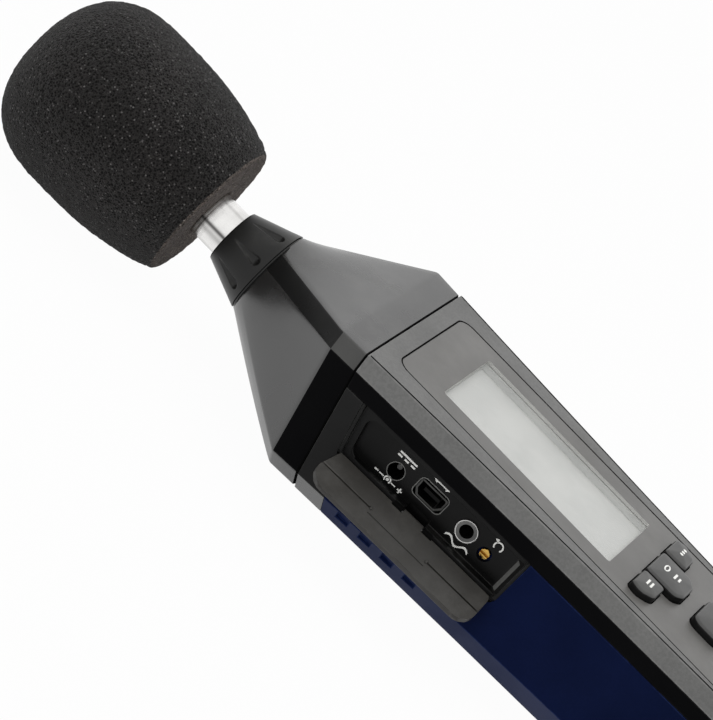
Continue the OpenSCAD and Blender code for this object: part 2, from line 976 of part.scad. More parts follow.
module cover_screw() {
  color(steel)
    translate([0, cover_screw_y, 0.2])
      difference() {
        union() {
          cylinder(r = 2.6, h = 0.9);
          cylinder(r = cover_screw_r, h = 6);
        }
        for (turn = [0, 90])
          rotate([0, 0, turn])
            translate([-1.6, -0.35, -1])
              cube([3.2, 0.7, 1.5]);
      }
}

front_case();
rear_case();
grip_skin();
grip_fore();
nose_cap();
mic_collar();
mic_tube();
mic_capsule();
mic_grid();
windscreen();
label_panel();
display_window();
display_frame();
display_glass();
main_board();
keypad_mat();
key(0);  // key_top_left
key(1);  // key_top_middle
key(2);  // key_top_right
key(3);  // key_middle
key(4);  // key_low_left
key(5);  // key_low_middle
key(6);  // key_low_right
port_bezel();
port_board();
supply_jack();
supply_pin();
usb_shell();
usb_tongue();
output_jack();
output_ring();
trimmer_body();
trimmer_screw();
port_flap();
flap_pin();
tripod_insert();
case_screws();
battery();
battery_clip();
battery_cover();
cover_screw();
preamp_board();
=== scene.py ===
"""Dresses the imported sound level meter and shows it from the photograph's angle.

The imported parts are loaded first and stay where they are. Each one is shown by a piece that stands
for it: a copy with rounded edges, or a finer form that is worked out here as a grid of points.
Lengths in the classes are millimetres in the part's own frame; meshes are metres.
"""
import logging
import math
from collections.abc import Callable
from dataclasses import dataclass
from enum import Enum
from typing import ClassVar

import bmesh
import bpy
import numpy as np
from mathutils import Matrix, Vector


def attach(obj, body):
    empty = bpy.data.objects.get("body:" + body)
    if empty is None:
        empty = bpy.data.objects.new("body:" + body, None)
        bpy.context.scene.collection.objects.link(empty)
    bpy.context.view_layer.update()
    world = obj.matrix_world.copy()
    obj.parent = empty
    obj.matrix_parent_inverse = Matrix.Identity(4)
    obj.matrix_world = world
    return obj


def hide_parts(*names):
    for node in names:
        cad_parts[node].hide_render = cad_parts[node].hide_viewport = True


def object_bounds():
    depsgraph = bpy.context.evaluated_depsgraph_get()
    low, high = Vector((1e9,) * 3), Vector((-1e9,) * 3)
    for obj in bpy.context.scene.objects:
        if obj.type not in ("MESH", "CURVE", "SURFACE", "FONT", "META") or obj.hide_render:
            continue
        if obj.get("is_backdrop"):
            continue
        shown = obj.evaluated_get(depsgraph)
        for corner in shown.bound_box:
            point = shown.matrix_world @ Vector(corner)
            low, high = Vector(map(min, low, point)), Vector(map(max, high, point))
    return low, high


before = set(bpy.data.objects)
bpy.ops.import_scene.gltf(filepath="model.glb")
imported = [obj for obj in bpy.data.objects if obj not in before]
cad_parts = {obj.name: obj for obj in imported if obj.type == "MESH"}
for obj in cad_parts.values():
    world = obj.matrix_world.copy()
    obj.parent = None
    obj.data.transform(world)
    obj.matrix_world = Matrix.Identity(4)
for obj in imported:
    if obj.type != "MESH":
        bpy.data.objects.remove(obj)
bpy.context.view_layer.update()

log = logging.getLogger("meter")
Array = np.ndarray
Pair, Triple = tuple[float, float], tuple[float, float, float]
Bytes = tuple[int, int, int]
Colour = tuple[float, float, float, float]
BMesh, Mesh, Group = bmesh.types.BMesh, bpy.types.Mesh, bpy.types.NodeTree
Outputs = bpy.types.NodeOutputs
Piece = bpy.types.Object
Socket = bpy.types.NodeSocket

MM = 0.001
TURN = 2 * np.pi
WHITE, BLACK = (1.0, 1.0, 1.0, 1.0), (0.0, 0.0, 0.0, 1.0)
MERGE, SLIVER = 2e-6, 1e-6  # metres within which points are one, before and after the rounding
FLAT = math.radians(0.6)  # faces that turn less than this are one face
ROOM = 2.5  # an edge is rounded if its faces are this many roundings wide
AT_JOINT = 0.05  # millimetres within which an edge lies in a joint
SOFT_SHARP = 40.0  # degrees from which an edge of a rounded copy is shaded sharp
HASH = np.array([73856093, 19349663, 83492791], np.uint64)
HASH_SEED, HASH_MIX = 2654435761, np.uint64(0x9E3779B97F4A7C15)
HASH_DROP, HASH_BITS = np.uint64(40), 24  # low bits that are dropped, and bits that are kept
PIN = 0.01  # half the width of a print that ends in a point
SINK = 6  # how far a print goes below its surface, in thicknesses


# Points and meshes

def srgb(display: Bytes) -> Colour:
    """Gives the linear colour of three display bytes."""
    c = np.array(display) / 255
    return (*np.where(c <= 0.04045, c / 12.92, ((c + 0.055) / 1.055) ** 2.4).tolist(), 1.0)


def unit(vectors: Array) -> Array:
    """Scales vectors to length 1."""
    return vectors / np.maximum(np.linalg.norm(vectors, axis=-1, keepdims=True), 1e-9)


def parabola(a: Array, v: Array, b: Array, t: Array) -> Array:
    """Rounds the corner v between a and b: (1-t)^2 a + 2t(1-t) v + t^2 b."""
    return (1 - t) ** 2 * a + 2 * t * (1 - t) * v + t ** 2 * b


def round_points(angles: Array) -> Array:
    """Gives the points (cos a, sin a) of the unit circle."""
    return np.stack([np.cos(angles), np.sin(angles)], 1)


def at_height(flat: Array, z: float | Array) -> Array:
    """Gives flat points a height."""
    return np.concatenate([flat, np.full(flat.shape[:-1] + (1,), z)], -1)


def loops(rows: list[Array]) -> Array:
    """Closes each row of points with its first point and stacks the rows."""
    return np.stack([np.concatenate([row, row[:1]]) for row in rows])


def rounded(corners: list[Pair], radii: list[float], steps: int = 6) -> Array:
    """Rounds the corners of an outline with arcs that touch both sides.

    Args:
        corners: Corner points in order.
        radii: Radius of each corner.
        steps: Spans in each arc.

    Returns:
        Points of the closed outline.
    """
    p = np.array(corners, float)
    a, b = unit(np.roll(p, 1, 0) - p), unit(np.roll(p, -1, 0) - p)
    half = np.arccos(np.clip((a * b).sum(1), -1, 1))[:, None] / 2
    r = np.array(radii, float)[:, None]
    centre, run = p + unit(a + b) * r / np.sin(half), r / np.tan(half)
    t = np.linspace(0, 1, steps + 1)[None, :, None]
    out = (p + a * run)[:, None] * (1 - t) + (p + b * run)[:, None] * t - centre[:, None]
    return (centre[:, None] + unit(out) * r[:, None]).reshape(-1, 2)


def rounded_box(half: float, low: float, high: float, r: float) -> Array:
    """Gives a rounded rectangle from -half to half across and from low to high along."""
    return rounded([(-half, low), (half, low), (half, high), (-half, high)], [r] * 4)


def bar(x: float, y: float, w: float, h: float) -> Array:
    """Gives a rectangle of half sizes w and h about a point, as two rows of points."""
    return np.array([[[x - w, y - h], [x + w, y - h]], [[x - w, y + h], [x + w, y + h]]])


def head(x: float, y: float, w: float, h: float) -> Array:
    """Gives an arrow head of length w and half width h along x, as two rows of points."""
    return np.array([[[x, y - h], [x, y + h]], [[x + w, y - PIN], [x + w, y + PIN]]])


def dot(x: float, y: float, r: float, count: int) -> Array:
    """Gives a disc of radius r about a point, as its rim and a row at its middle."""
    rim = round_points(np.linspace(0, TURN, count))
    return np.stack([rim * r, rim * PIN]) + [x, y]


def turned(profile: Array, cols: int, axis_z: float) -> Array:
    """Turns rows of (r, y) about an axis along Y at height z0: (r cos a, y, z0 + r sin a)."""
    a, r = np.linspace(0, TURN, cols, endpoint=False), profile[:, :1]
    return np.stack([r * np.cos(a), profile[:, 1:] + 0 * a, axis_z + r * np.sin(a)], -1)


def value_noise(points: Array, size: float, seed: int) -> Array:
    """Smooth noise from -1 to 1: hashed values on a cubic lattice, blended by 3t^2 - 2t^3.

    Args:
        points: Places, one row each.
        size: Lattice step, in the same unit.
        seed: Picks the hash.

    Returns:
        One value for each place.
    """
    cell = np.floor(points / size).astype(np.int64)
    t = points / size - cell
    t = t * t * (3 - 2 * t)
    total = np.zeros(len(points))
    for corner in np.ndindex(2, 2, 2):
        h = np.bitwise_xor.reduce((cell + np.array(corner)).astype(np.uint64) * HASH, axis=1)
        h = (h ^ np.uint64(seed * HASH_SEED)) * HASH_MIX
        h = (h >> HASH_DROP).astype(float) / 2 ** HASH_BITS
        weight = np.prod(np.where(np.array(corner) == 1, t, 1 - t), axis=1)
        total += weight * (2 * h - 1)
    return total


def grid_faces(rows: int, cols: int, wrap: bool) -> Array:
    """Numbers the quads of a grid of points stored row by row.

    Args:
        rows: Points from the first row to the last.
        cols: Points in a row.
        wrap: Joins the end of each row to its start.

    Returns:
        One row of four point numbers for each quad.
    """
    j, i = np.meshgrid(np.arange(rows - 1), np.arange(cols if wrap else cols - 1), indexing="ij")
    a, b = j * cols + i, j * cols + (i + 1) % cols
    return np.stack([a, b, b + cols, a + cols], -1).reshape(-1, 4)


def signed_volume(points: Array, faces: Array) -> float:
    """Sums the tetrahedra between the origin and each half quad; below zero means inside out."""
    a, b, c, d = (points[faces[:, k]] for k in range(4))
    return float((a * (np.cross(b, c) + np.cross(c, d))).sum() / 6)


def note(mesh: Mesh, name: str, domain: str, values: Array) -> None:
    """Stores one number for each point or face of a mesh."""
    mesh.attributes.new(name, "FLOAT", domain).data.foreach_set("value", values.astype(float))


def link_smooth(name: str, mesh: Mesh, sharp: float) -> Piece:
    """Shades a mesh smooth up to an angle and links an object of it at the origin.

    Args:
        name: Name of the piece.
        mesh: The finished mesh.
        sharp: Angle in degrees from which an edge is shaded sharp.

    Returns:
        The linked object.
    """
    mesh.shade_smooth()
    mesh.set_sharp_from_angle(angle=math.radians(sharp))
    made = bpy.data.objects.new(name, mesh)
    bpy.context.scene.collection.objects.link(made)
    return made


def put_mesh(name: str, rings: Array, sharp: float, edge: Array | None = None,
             band: Array | None = None, wrap: bool = True) -> Piece:
    """Makes an object of a closed grid, with its faces turned outwards and its doubles merged.

    Args:
        name: Name of the piece.
        rings: Rows of points, in millimetres.
        sharp: Angle in degrees from which an edge is shaded sharp.
        edge: How far each point lies on an edge that wears, 0 to 1.
        band: True for each face of a band that takes another finish; on the nose, the bevel band of
            painted shade.
        wrap: Joins the end of each row to its start.

    Returns:
        The linked object.
    """
    points, faces = rings.reshape(-1, 3), grid_faces(*rings.shape[:2], wrap)
    if signed_volume(points, faces) < 0:
        faces = faces[:, ::-1]
    mesh = bpy.data.meshes.new(name)
    mesh.from_pydata((points * MM).tolist(), [], faces.tolist())
    note(mesh, "edge", "POINT", np.zeros(len(points)) if edge is None else edge.reshape(-1))
    if band is not None:
        note(mesh, "band", "FACE", band)
    work = bmesh.new()
    work.from_mesh(mesh)
    bmesh.ops.remove_doubles(work, verts=work.verts, dist=MERGE)
    work.to_mesh(mesh)
    work.free()
    return link_smooth(name, mesh, sharp)


def put_strip(name: str, strip: Array, rise: Array) -> Piece:
    """Makes a thin closed print: two rows of points, raised, sunk and closed round their rim.

    Args:
        name: Name of the piece.
        strip: Two rows of points, in millimetres.
        rise: Thickness above the surface, as a vector.

    Returns:
        The piece.
    """
    low, high = strip - rise * SINK, strip + rise
    rings = np.stack([low[0], high[0], high[1], low[1], low[0]])
    if not np.allclose(strip[:, 0], strip[:, -1]):
        ends = np.broadcast_to(rings[:4].mean(0), rings.shape)
        rings = np.concatenate([ends[:, :1], rings, ends[:, -1:]], 1)
    return put_mesh(name, rings, sharp=30.0, wrap=False)


def flatten(work: BMesh) -> None:
    """Joins the faces that lie in one plane."""
    bmesh.ops.dissolve_limit(work, angle_limit=FLAT, verts=work.verts, edges=work.edges)


def softened(node: str, width: float = 0.0, sharp: float = 24.0, shortest: float = 1.0,
             joint_y: float = math.inf,
             reshape: Callable[[BMesh], None] | None = None) -> Piece:
    """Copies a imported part, merges it and rounds its long sharp edges, which are marked as worn.

    Args:
        node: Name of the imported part.
        width: Width of the rounding, in millimetres.
        sharp: Angle in degrees from which an edge is rounded.
        shortest: Shortest edge that is rounded, in millimetres.
        joint_y: Place along Y of a joint with a like part, whose edges stay sharp.
        reshape: Changes the merged copy before its edges are rounded.

    Returns:
        The linked copy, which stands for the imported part.
    """
    work = bmesh.new()
    work.from_mesh(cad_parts[node].data)
    bmesh.ops.remove_doubles(work, verts=work.verts, dist=MERGE)
    flatten(work)
    if reshape:
        reshape(work)
        flatten(work)
    chosen = [e for e in work.edges
              if e.is_manifold and e.calc_length() > shortest * MM
              and e.calc_face_angle(0.0) > math.radians(sharp)
              and min(f.calc_area() for f in e.link_faces) > ROOM * width * MM * e.calc_length()
              and max(abs(v.co.y - joint_y * MM) for v in e.verts) > AT_JOINT * MM]
    for face in work.faces:
        face.material_index = 0
    if width > 0 and chosen:
        bmesh.ops.bevel(work, geom=chosen, offset=width * MM, offset_type="OFFSET", segments=2,
                        profile=0.5, affect="EDGES", clamp_overlap=False, material=1)
        bmesh.ops.remove_doubles(work, verts=work.verts, dist=SLIVER)
    marks = np.array([face.material_index for face in work.faces])
    for face in work.faces:
        face.material_index = 0
    mesh = bpy.data.meshes.new(node + "_soft")
    work.to_mesh(mesh)
    work.free()
    note(mesh, "edge", "FACE", marks)
    made = link_smooth(node + "_soft", mesh, SOFT_SHARP)
    if width > 0:
        weighted = made.modifiers.new("even shading", "WEIGHTED_NORMAL")
        weighted.keep_sharp = True
        weighted.weight = 100
    return made


def read(items: bpy.types.bpy_prop_collection, name: str, width: int = 3) -> Array:
    """Reads one property of all points or faces of a mesh.

    Args:
        items: The points or faces.
        name: Name of the property.
        width: Numbers for each of them.

    Returns:
        One row for each of them.
    """
    flat = np.empty(width * len(items))
    items.foreach_get(name, flat)
    return flat.reshape(-1, width)


def face_centres(piece: Piece) -> Array:
    """Gives the middle of each face of a piece, in millimetres."""
    return read(piece.data.polygons, "center") / MM


def face_ways(piece: Piece) -> Array:
    """Gives the direction that each face of a piece looks in."""
    return read(piece.data.polygons, "normal")


def lift(piece: Piece, low: float, high: float, by: float) -> Piece:
    """Moves the points of a piece between two heights along Z, all in millimetres.

    Args:
        piece: The piece.
        low: Lowest height that moves.
        high: Highest height that moves.
        by: How far they move.

    Returns:
        The same piece.
    """
    spots = read(piece.data.vertices, "co")
    spots[(spots[:, 2] > low * MM) & (spots[:, 2] < high * MM), 2] += by * MM
    piece.data.vertices.foreach_set("co", spots.reshape(-1))
    return piece


# Shared shader effects

class Tree:
    """Adds nodes to one node tree and links them."""

    def __init__(self, tree: Group) -> None:
        """Keeps the tree."""
        self.tree = tree

    def feed(self, value: object, socket: Socket) -> None:
        """Links an input to another socket, or sets it to a constant.

        Args:
            value: The other socket, or the constant.
            socket: The input.
        """
        if isinstance(value, Socket):
            self.tree.links.new(value, socket)
        else:
            socket.default_value = value

    def add(self, kind: str, values: dict[str | int, object] | None = None,
            family: str = "ShaderNode", **settings: object) -> Outputs:
        """Adds a node.

        Args:
            kind: Name of the node type, without its family.
            values: Sockets or constants for its inputs, by name or number.
            family: First part of the name.
            **settings: Properties of the node.

        Returns:
            The node's outputs.
        """
        node = self.tree.nodes.new(family + kind)
        for key, value in settings.items():
            setattr(node, key, value)
        for key, value in (values or {}).items():
            self.feed(value, node.inputs[key])
        return node.outputs

    def maths(self, operation: str, a: object, b: object, clamp: bool = False) -> Socket:
        """Adds a Math node on two sockets or numbers, clamped to 0 and 1 on demand."""
        return self.add("Math", {0: a, 1: b}, operation=operation, use_clamp=clamp)[0]

    def ramp(self, value: Socket, low: float, high: float, start: float = 0.0,
             end: float = 1.0) -> Socket:
        """Maps a value smoothly from low..high to start..end."""
        ends = {"Value": value, "From Min": low, "From Max": high, "To Min": start, "To Max": end}
        return self.add("MapRange", ends, interpolation_type="SMOOTHSTEP")["Result"]

    def blend(self, mask: Socket, under: object, over: object) -> Socket:
        """Mixes two colours: a mask of 0 shows the first one and 1 the second."""
        return self.add("Mix", {0: mask, 6: under, 7: over}, data_type="RGBA")[2]

    def noise(self, place: Socket, scale: object, detail: float, rough: float = 0.5) -> Socket:
        """Adds a noise texture and gives its value."""
        values = {"Vector": place, "Scale": scale, "Detail": detail, "Roughness": rough}
        return self.add("TexNoise", values)["Fac"]


class Effects:
    """Node groups that several finishes share, each built once."""

    def __init__(self) -> None:
        """Builds the groups."""
        self.groups = {"grain": self.grain(), "wear": self.wear(), "dust": self.dust()}

    @staticmethod
    def start(name: str, inputs: dict[str, float],
              outputs: tuple[str, ...]) -> tuple[Tree, Outputs, Outputs]:
        """Starts a node group with float sockets.

        Args:
            name: Name of the group.
            inputs: Input names with their default values.
            outputs: Output names.

        Returns:
            The tree, the values given to it and its coordinates.
        """
        group = bpy.data.node_groups.new(name, "ShaderNodeTree")
        kind = "NodeSocketFloat"
        for key, value in inputs.items():
            socket = group.interface.new_socket(key, in_out="INPUT", socket_type=kind)
            socket.default_value = value
        for key in outputs:
            group.interface.new_socket(key, in_out="OUTPUT", socket_type=kind)
        tree = Tree(group)
        return tree, tree.add("Input", family="NodeGroup"), tree.add("TexCoord")

    def grain(self) -> Group:
        """Moulded grain: fine noise as a height, and slow noise as a patch mask.

        Returns:
            The node group.
        """
        tree, given, place = self.start("moulded grain", {"Scale": 2500.0, "Patch Scale": 45.0},
                                        ("Height", "Patch"))
        fine = tree.noise(place["Object"], given["Scale"], 3.0, 0.6)
        slow = tree.noise(place["Object"], given["Patch Scale"], 4.0, 0.55)
        tree.add("Output", {"Height": fine, "Patch": tree.ramp(slow, 0.3, 0.7)}, "NodeGroup")
        return tree.tree

    def wear(self) -> Group:
        """Edge wear: the piece's own edge attribute, broken up by noise.

        Returns:
            The node group.
        """
        tree, given, place = self.start("edge wear", {"Amount": 0.5, "Scale": 220.0}, ("Mask",))
        edge = tree.add("Attribute", attribute_name="edge")["Fac"]
        cloud = tree.noise(place["Object"], given["Scale"], 5.0, 0.7)
        broken = tree.maths("MULTIPLY", edge, tree.ramp(cloud, 0.35, 0.65))
        mask = tree.maths("MULTIPLY", broken, given["Amount"], clamp=True)
        tree.add("Output", {"Mask": mask}, "NodeGroup")
        return tree.tree

    def dust(self) -> Group:
        """Dust: on faces that look up, in a cloudy pattern.

        Returns:
            The node group.
        """
        tree, given, place = self.start("settled dust", {"Amount": 0.1}, ("Mask",))
        cloud = tree.noise(place["Object"], 70.0, 6.0, 0.7)
        way = tree.add("SeparateXYZ", {0: place["Normal"]})
        cover = tree.maths("MULTIPLY", tree.ramp(way["Z"], 0.3, 1.0), tree.ramp(cloud, 0.42, 0.75))
        mask = tree.maths("MULTIPLY", cover, given["Amount"], clamp=True)
        tree.add("Output", {"Mask": mask}, "NodeGroup")
        return tree.tree


class Sheet(Tree):
    """The node tree of one material, with its shader and the shared effects."""

    def __init__(self, name: str, effects: Effects) -> None:
        """Starts a material.

        Args:
            name: Name of the finish.
            effects: The shared node groups.
        """
        self.material = bpy.data.materials.new(name)
        self.material.use_nodes = True
        super().__init__(self.material.node_tree)
        self.shader = self.tree.nodes["Principled BSDF"]
        self.effects = effects

    def shade(self, values: dict[str, object]) -> None:
        """Feeds inputs of the shader, by name."""
        for name, value in values.items():
            self.feed(value, self.shader.inputs[name])

    def effect(self, name: str, values: dict[str, float] | None = None) -> Outputs:
        """Adds a shared effect with constants for its inputs, and gives its outputs."""
        return self.add("Group", values, node_tree=self.effects.groups[name])

    def bump(self, height: Socket, depth: float) -> None:
        """Bends the shader's normal by a height from 0 to 1, with its depth in metres."""
        values = {"Strength": 1.0, "Distance": depth, "Height": height}
        self.shade({"Normal": self.add("Bump", values)["Normal"]})


# Finishes

class Grain(Enum):
    """Grain of a moulded surface: scale per metre, depth in metres and share of its speckle."""

    SPARK = (1300.0, 0.000045, 0.16)
    SATIN = (2200.0, 0.000012, 0.04)
    SOFT = (1500.0, 0.000018, 0.06)
    FILM = (4200.0, 0.000008, 0.02)
    GLASS = (4200.0, 0.000001, 0.0)


@dataclass(frozen=True)
class Finish:
    """What all finishes share."""

    name: str

    def make(self, effects: Effects) -> bpy.types.Material:
        """Builds the material.

        Args:
            effects: The shared node groups.

        Returns:
            The material.
        """
        sheet = Sheet(self.name, effects)
        self.lay(sheet)
        return sheet.material

    def lay(self, sheet: Sheet) -> None:
        """Lays the nodes of one kind of finish into a material."""
        raise NotImplementedError


@dataclass(frozen=True)
class Moulded(Finish):
    """A moulded plastic or rubber. Colours are display bytes in all finishes."""

    colour: Bytes
    patch: Bytes  # its cloudy patches
    rough: float = 0.5
    shine: float = 0.4
    wear: Bytes = (150, 150, 148)
    wear_amount: float = 0.25
    dust_amount: float = 0.05
    grain: Grain = Grain.SATIN
    dust: Bytes = (176, 174, 168)

    def lay(self, sheet: Sheet) -> None:
        """Lays dark speckle, worn edges and dust over a patchy colour, with a bump of fine grain.

        Args:
            sheet: The material's nodes.
        """
        scale, depth, speckle = self.grain.value
        grain = sheet.effect("grain", {"Scale": scale})
        wear = sheet.effect("wear", {"Amount": self.wear_amount})
        dust = sheet.effect("dust", {"Amount": self.dust_amount})
        colour = sheet.blend(grain["Patch"], srgb(self.colour), srgb(self.patch))
        colour = sheet.blend(sheet.ramp(grain["Height"], 0.35, 0.65, speckle, 0.0), colour, BLACK)
        colour = sheet.blend(wear["Mask"], colour, srgb(self.wear))
        smooth, dull = self.rough - 0.04, self.rough + 0.05
        sheet.shade({"Base Color": sheet.blend(dust["Mask"], colour, srgb(self.dust)),
                     "Roughness": sheet.ramp(grain["Patch"], 0.0, 1.0, smooth, dull),
                     "Specular IOR Level": self.shine})
        sheet.bump(grain["Height"], depth)


@dataclass(frozen=True)
class Metal(Finish):
    """A turned metal."""

    colour: Bytes
    dull: Bytes  # its smears
    rough: float = 0.2
    # colour of the dark streaks of painted reflection
    streak: Bytes = (52, 51, 50)
    rings: Triple = (60.0, 9000.0, 60.0)  # per metre along each axis
    ring_depth: float = 0.000004  # metres
    smears: float = 180.0  # per metre

    def lay(self, sheet: Sheet) -> None:
        """Lays faint smears and dark streaks of painted reflection over fine rings along Y.

        Args:
            sheet: The material's nodes.
        """
        place = sheet.add("TexCoord")["Object"]
        fine = sheet.add("Mapping", {"Vector": place, "Scale": self.rings})["Vector"]
        rings = sheet.noise(fine, 1.0, 2.0)
        patch = sheet.effect("grain", {"Patch Scale": self.smears})["Patch"]
        streak = sheet.add("Attribute", attribute_name="streak")["Fac"]
        metal = sheet.blend(patch, srgb(self.colour), srgb(self.dull))
        smooth, dull = self.rough - 0.06, self.rough + 0.08
        sheet.shade({"Base Color": sheet.blend(streak, metal, srgb(self.streak)),
                     "Roughness": sheet.ramp(rings, 0.3, 0.7, smooth, dull), "Metallic": 1.0})
        sheet.bump(rings, self.ring_depth)


@dataclass(frozen=True)
class Foam(Finish):
    """Open-cell foam."""

    rib: Bytes
    cell: Bytes
    cells: float = 1500.0  # per metre
    fade: float = 1.3  # how much brighter the faded patches are
    glint: int = 72  # bytes by which a wall that catches the light is brighter
    sheen: float = 0.12
    depth: float = 0.00025  # metres

    def lay(self, sheet: Sheet) -> None:
        """Lays dark cells between lighter ribs, with a few cell walls that catch the light.

        Args:
            sheet: The material's nodes.
        """
        place = sheet.add("TexCoord")["Object"]
        pores, specks = (sheet.add("TexVoronoi", {"Vector": place, "Scale": scale})
                         for scale in (self.cells, self.cells * 0.9))
        fine = sheet.noise(place, self.cells * 1.7, 4.0, 0.7)
        patch = sheet.effect("grain")["Patch"]
        chance = sheet.add("SeparateColor", {0: specks["Color"]})["Red"]
        glint = sheet.maths("MULTIPLY", sheet.ramp(chance, 0.6, 1.0),
                            sheet.ramp(specks["Distance"], 0.42, 0.12), clamp=True)
        mask = sheet.maths("MULTIPLY", sheet.ramp(pores["Distance"], 0.15, 0.6),
                           sheet.ramp(fine, 0.3, 0.7), clamp=True)
        faded = tuple(round(c * self.fade) for c in self.rib)
        lit = tuple(c + self.glint for c in self.rib)
        ribs = sheet.blend(patch, srgb(self.rib), srgb(faded))
        solid = sheet.blend(mask, srgb(self.cell), ribs)
        sheet.shade({"Base Color": sheet.blend(glint, solid, srgb(lit)),
                     "Roughness": sheet.ramp(mask, 0.0, 1.0, 0.95, 0.75),
                     "Specular IOR Level": self.sheen, "Sheen Weight": self.sheen,
                     "Sheen Roughness": 0.45})
        sheet.bump(mask, self.depth)


@dataclass(frozen=True)
class Pane(Finish):
    """A clear pane."""

    haze: float = 0.1  # how much of the pane shows, 0 to 1
    clean: Bytes = (225, 228, 226)
    smear: Bytes = (205, 208, 207)
    smears: float = 90.0  # per metre

    def lay(self, sheet: Sheet) -> None:
        """Lays faint smears on the gloss of a pane that is mostly see-through.

        Args:
            sheet: The material's nodes.
        """
        patch = sheet.effect("grain", {"Patch Scale": self.smears})["Patch"]
        sheet.shade({"Base Color": sheet.blend(patch, srgb(self.clean), srgb(self.smear)),
                     "Roughness": sheet.ramp(patch, 0.0, 1.0, 0.05, 0.14),
                     "Alpha": sheet.ramp(patch, 0.0, 1.0, self.haze, self.haze * 1.3)})


@dataclass(frozen=True)
class Circuit(Finish):
    """A circuit board."""

    mask: Bytes = (24, 92, 50)
    patch: Bytes = (18, 76, 42)
    track: Bytes = (60, 120, 66)
    tracks: float = 260.0  # per metre
    gap: float = 0.06  # between two tracks

    def lay(self, sheet: Sheet) -> None:
        """Lays a green mask over faint copper tracks.

        Args:
            sheet: The material's nodes.
        """
        place = sheet.add("TexCoord")["Object"]
        values = {"Vector": place, "Scale": self.tracks, "Mortar Size": self.gap}
        tracks = sheet.add("TexBrick", values)["Fac"]
        patch = sheet.effect("grain")["Patch"]
        green = sheet.blend(patch, srgb(self.mask), srgb(self.patch))
        sheet.shade({"Base Color": sheet.blend(tracks, green, srgb(self.track)),
                     "Roughness": sheet.ramp(patch, 0.0, 1.0, 0.3, 0.4)})


FINISHES = (
    Moulded("case_grey", (96, 96, 95), (90, 90, 89), 0.42, 0.4, (120, 120, 118), 0.5,
            grain=Grain.SPARK),
    # case_side: the grey plastic made near black and dull on upright sides, as painted shade
    Moulded("case_side", (6, 6, 7), (5, 5, 6), 0.6, 0.04, (40, 40, 40), 0.3),
    Moulded("case_dark", (30, 30, 30), (26, 26, 26), 0.45, 0.1, (70, 70, 69), 0.4),
    # rim_grey: pale grey for the rims round the sockets, and for a painted highlight on the recess's
    # ramp
    Moulded("rim_grey", (112, 112, 110), (100, 100, 98), 0.45, 0.4, (150, 150, 147), 0.4),
    # groove_black: black for grooves, and for painted shade along the face's crease and at the
    # nose's seam
    Moulded("groove_black", (12, 12, 12), (9, 9, 9), 0.8, 0.02, wear_amount=0.0, dust_amount=0.0),
    Moulded("grip_blue", (12, 22, 55), (10, 19, 48), 0.6, 0.04, (40, 54, 98), 0.4,
            grain=Grain.SOFT),
    # grip_bevel: a lighter copy of the grip's blue for its downward bevels, as a painted reflection
    # of the floor
    Moulded("grip_bevel", (24, 36, 74), (21, 32, 66), 0.5, 0.08, (46, 60, 100), 0.4,
            grain=Grain.SOFT),
    Moulded("nose_grey", (35, 35, 35), (31, 31, 31), 0.24, 1.0, (60, 60, 59), 0.4),
    # nose_dark: the nose's plastic made darker and duller on its bevel band, as painted shade
    Moulded("nose_dark", (22, 22, 22), (19, 19, 19), 0.3, 0.14, (52, 52, 51), 0.3),
    # skirt_grey: the nose's plastic made lighter on the skirt's bevel, as painted light
    Moulded("skirt_grey", (66, 66, 65), (60, 60, 59), 0.42, 0.25, (88, 88, 86), 0.4),
    Moulded("collar_black", (21, 21, 20), (17, 17, 17), 0.36, 0.32, (60, 59, 57), 0.5),
    Moulded("label_film", (91, 90, 88), (88, 87, 85), 0.36, 0.45, wear_amount=0.1,
            grain=Grain.FILM),
    Moulded("frame_light", (190, 190, 187), (184, 184, 181), 0.5, 0.3),
    # frame_top: a brighter copy of the frame's colour for its tops, as painted light
    Moulded("frame_top", (246, 246, 243), (242, 242, 239), 0.5, 0.3),
    Moulded("display_cell", (194, 194, 191), (191, 191, 188), 0.4, 0.3, dust_amount=0.0,
            grain=Grain.GLASS),
    Moulded("mat_rubber", (52, 52, 52), (46, 46, 46), 0.7, 0.3, grain=Grain.SOFT),
    Moulded("key_rubber", (44, 44, 43), (39, 39, 38), 0.36, 0.65, (70, 70, 69), 0.4),
    # key_wall: a darker copy of the key rubber for the keys' walls, as painted shade
    Moulded("key_wall", (18, 18, 18), (15, 15, 15), 0.4, 0.12, (60, 60, 59), 0.3),
    Moulded("port_black", (13, 13, 13), (10, 10, 10), 0.3, 0.14, (56, 55, 54), 0.4),
    Moulded("socket_black", (10, 10, 10), (8, 8, 8), 0.45, 0.12),
    Moulded("trimmer_blue", (16, 26, 62), (13, 21, 52), 0.4, 0.2),
    Moulded("flap_grey", (56, 55, 53), (39, 37, 34), 0.45, 0.3, (92, 90, 86), 0.4,
            grain=Grain.SOFT),
    Moulded("battery_can", (60, 60, 64), (50, 50, 54), 0.35, 0.5),
    Moulded("print_white", (240, 240, 237), (230, 230, 226), 0.6, 0.2, dust_amount=0.0,
            grain=Grain.FILM),
    Metal("steel", (240, 239, 237), (226, 225, 223), 0.16),
    Metal("plain_steel", (180, 180, 178), (158, 158, 156), 0.26),
    Metal("dull_steel", (104, 104, 103), (84, 84, 84), 0.35),
    Metal("dark_steel", (80, 80, 79), (66, 66, 65), 0.4),
    Metal("brass", (222, 186, 106), (200, 158, 80), 0.3),
    Foam("foam", (43, 41, 40), (9, 9, 9)),
    # foam_cut: pale warm foam for the cut foot, for its open cells and made paler still as painted
    # light
    Foam("foam_cut", (112, 102, 95), (48, 42, 39)),
    Pane("window_clear"),
    Circuit("board_green"),
)


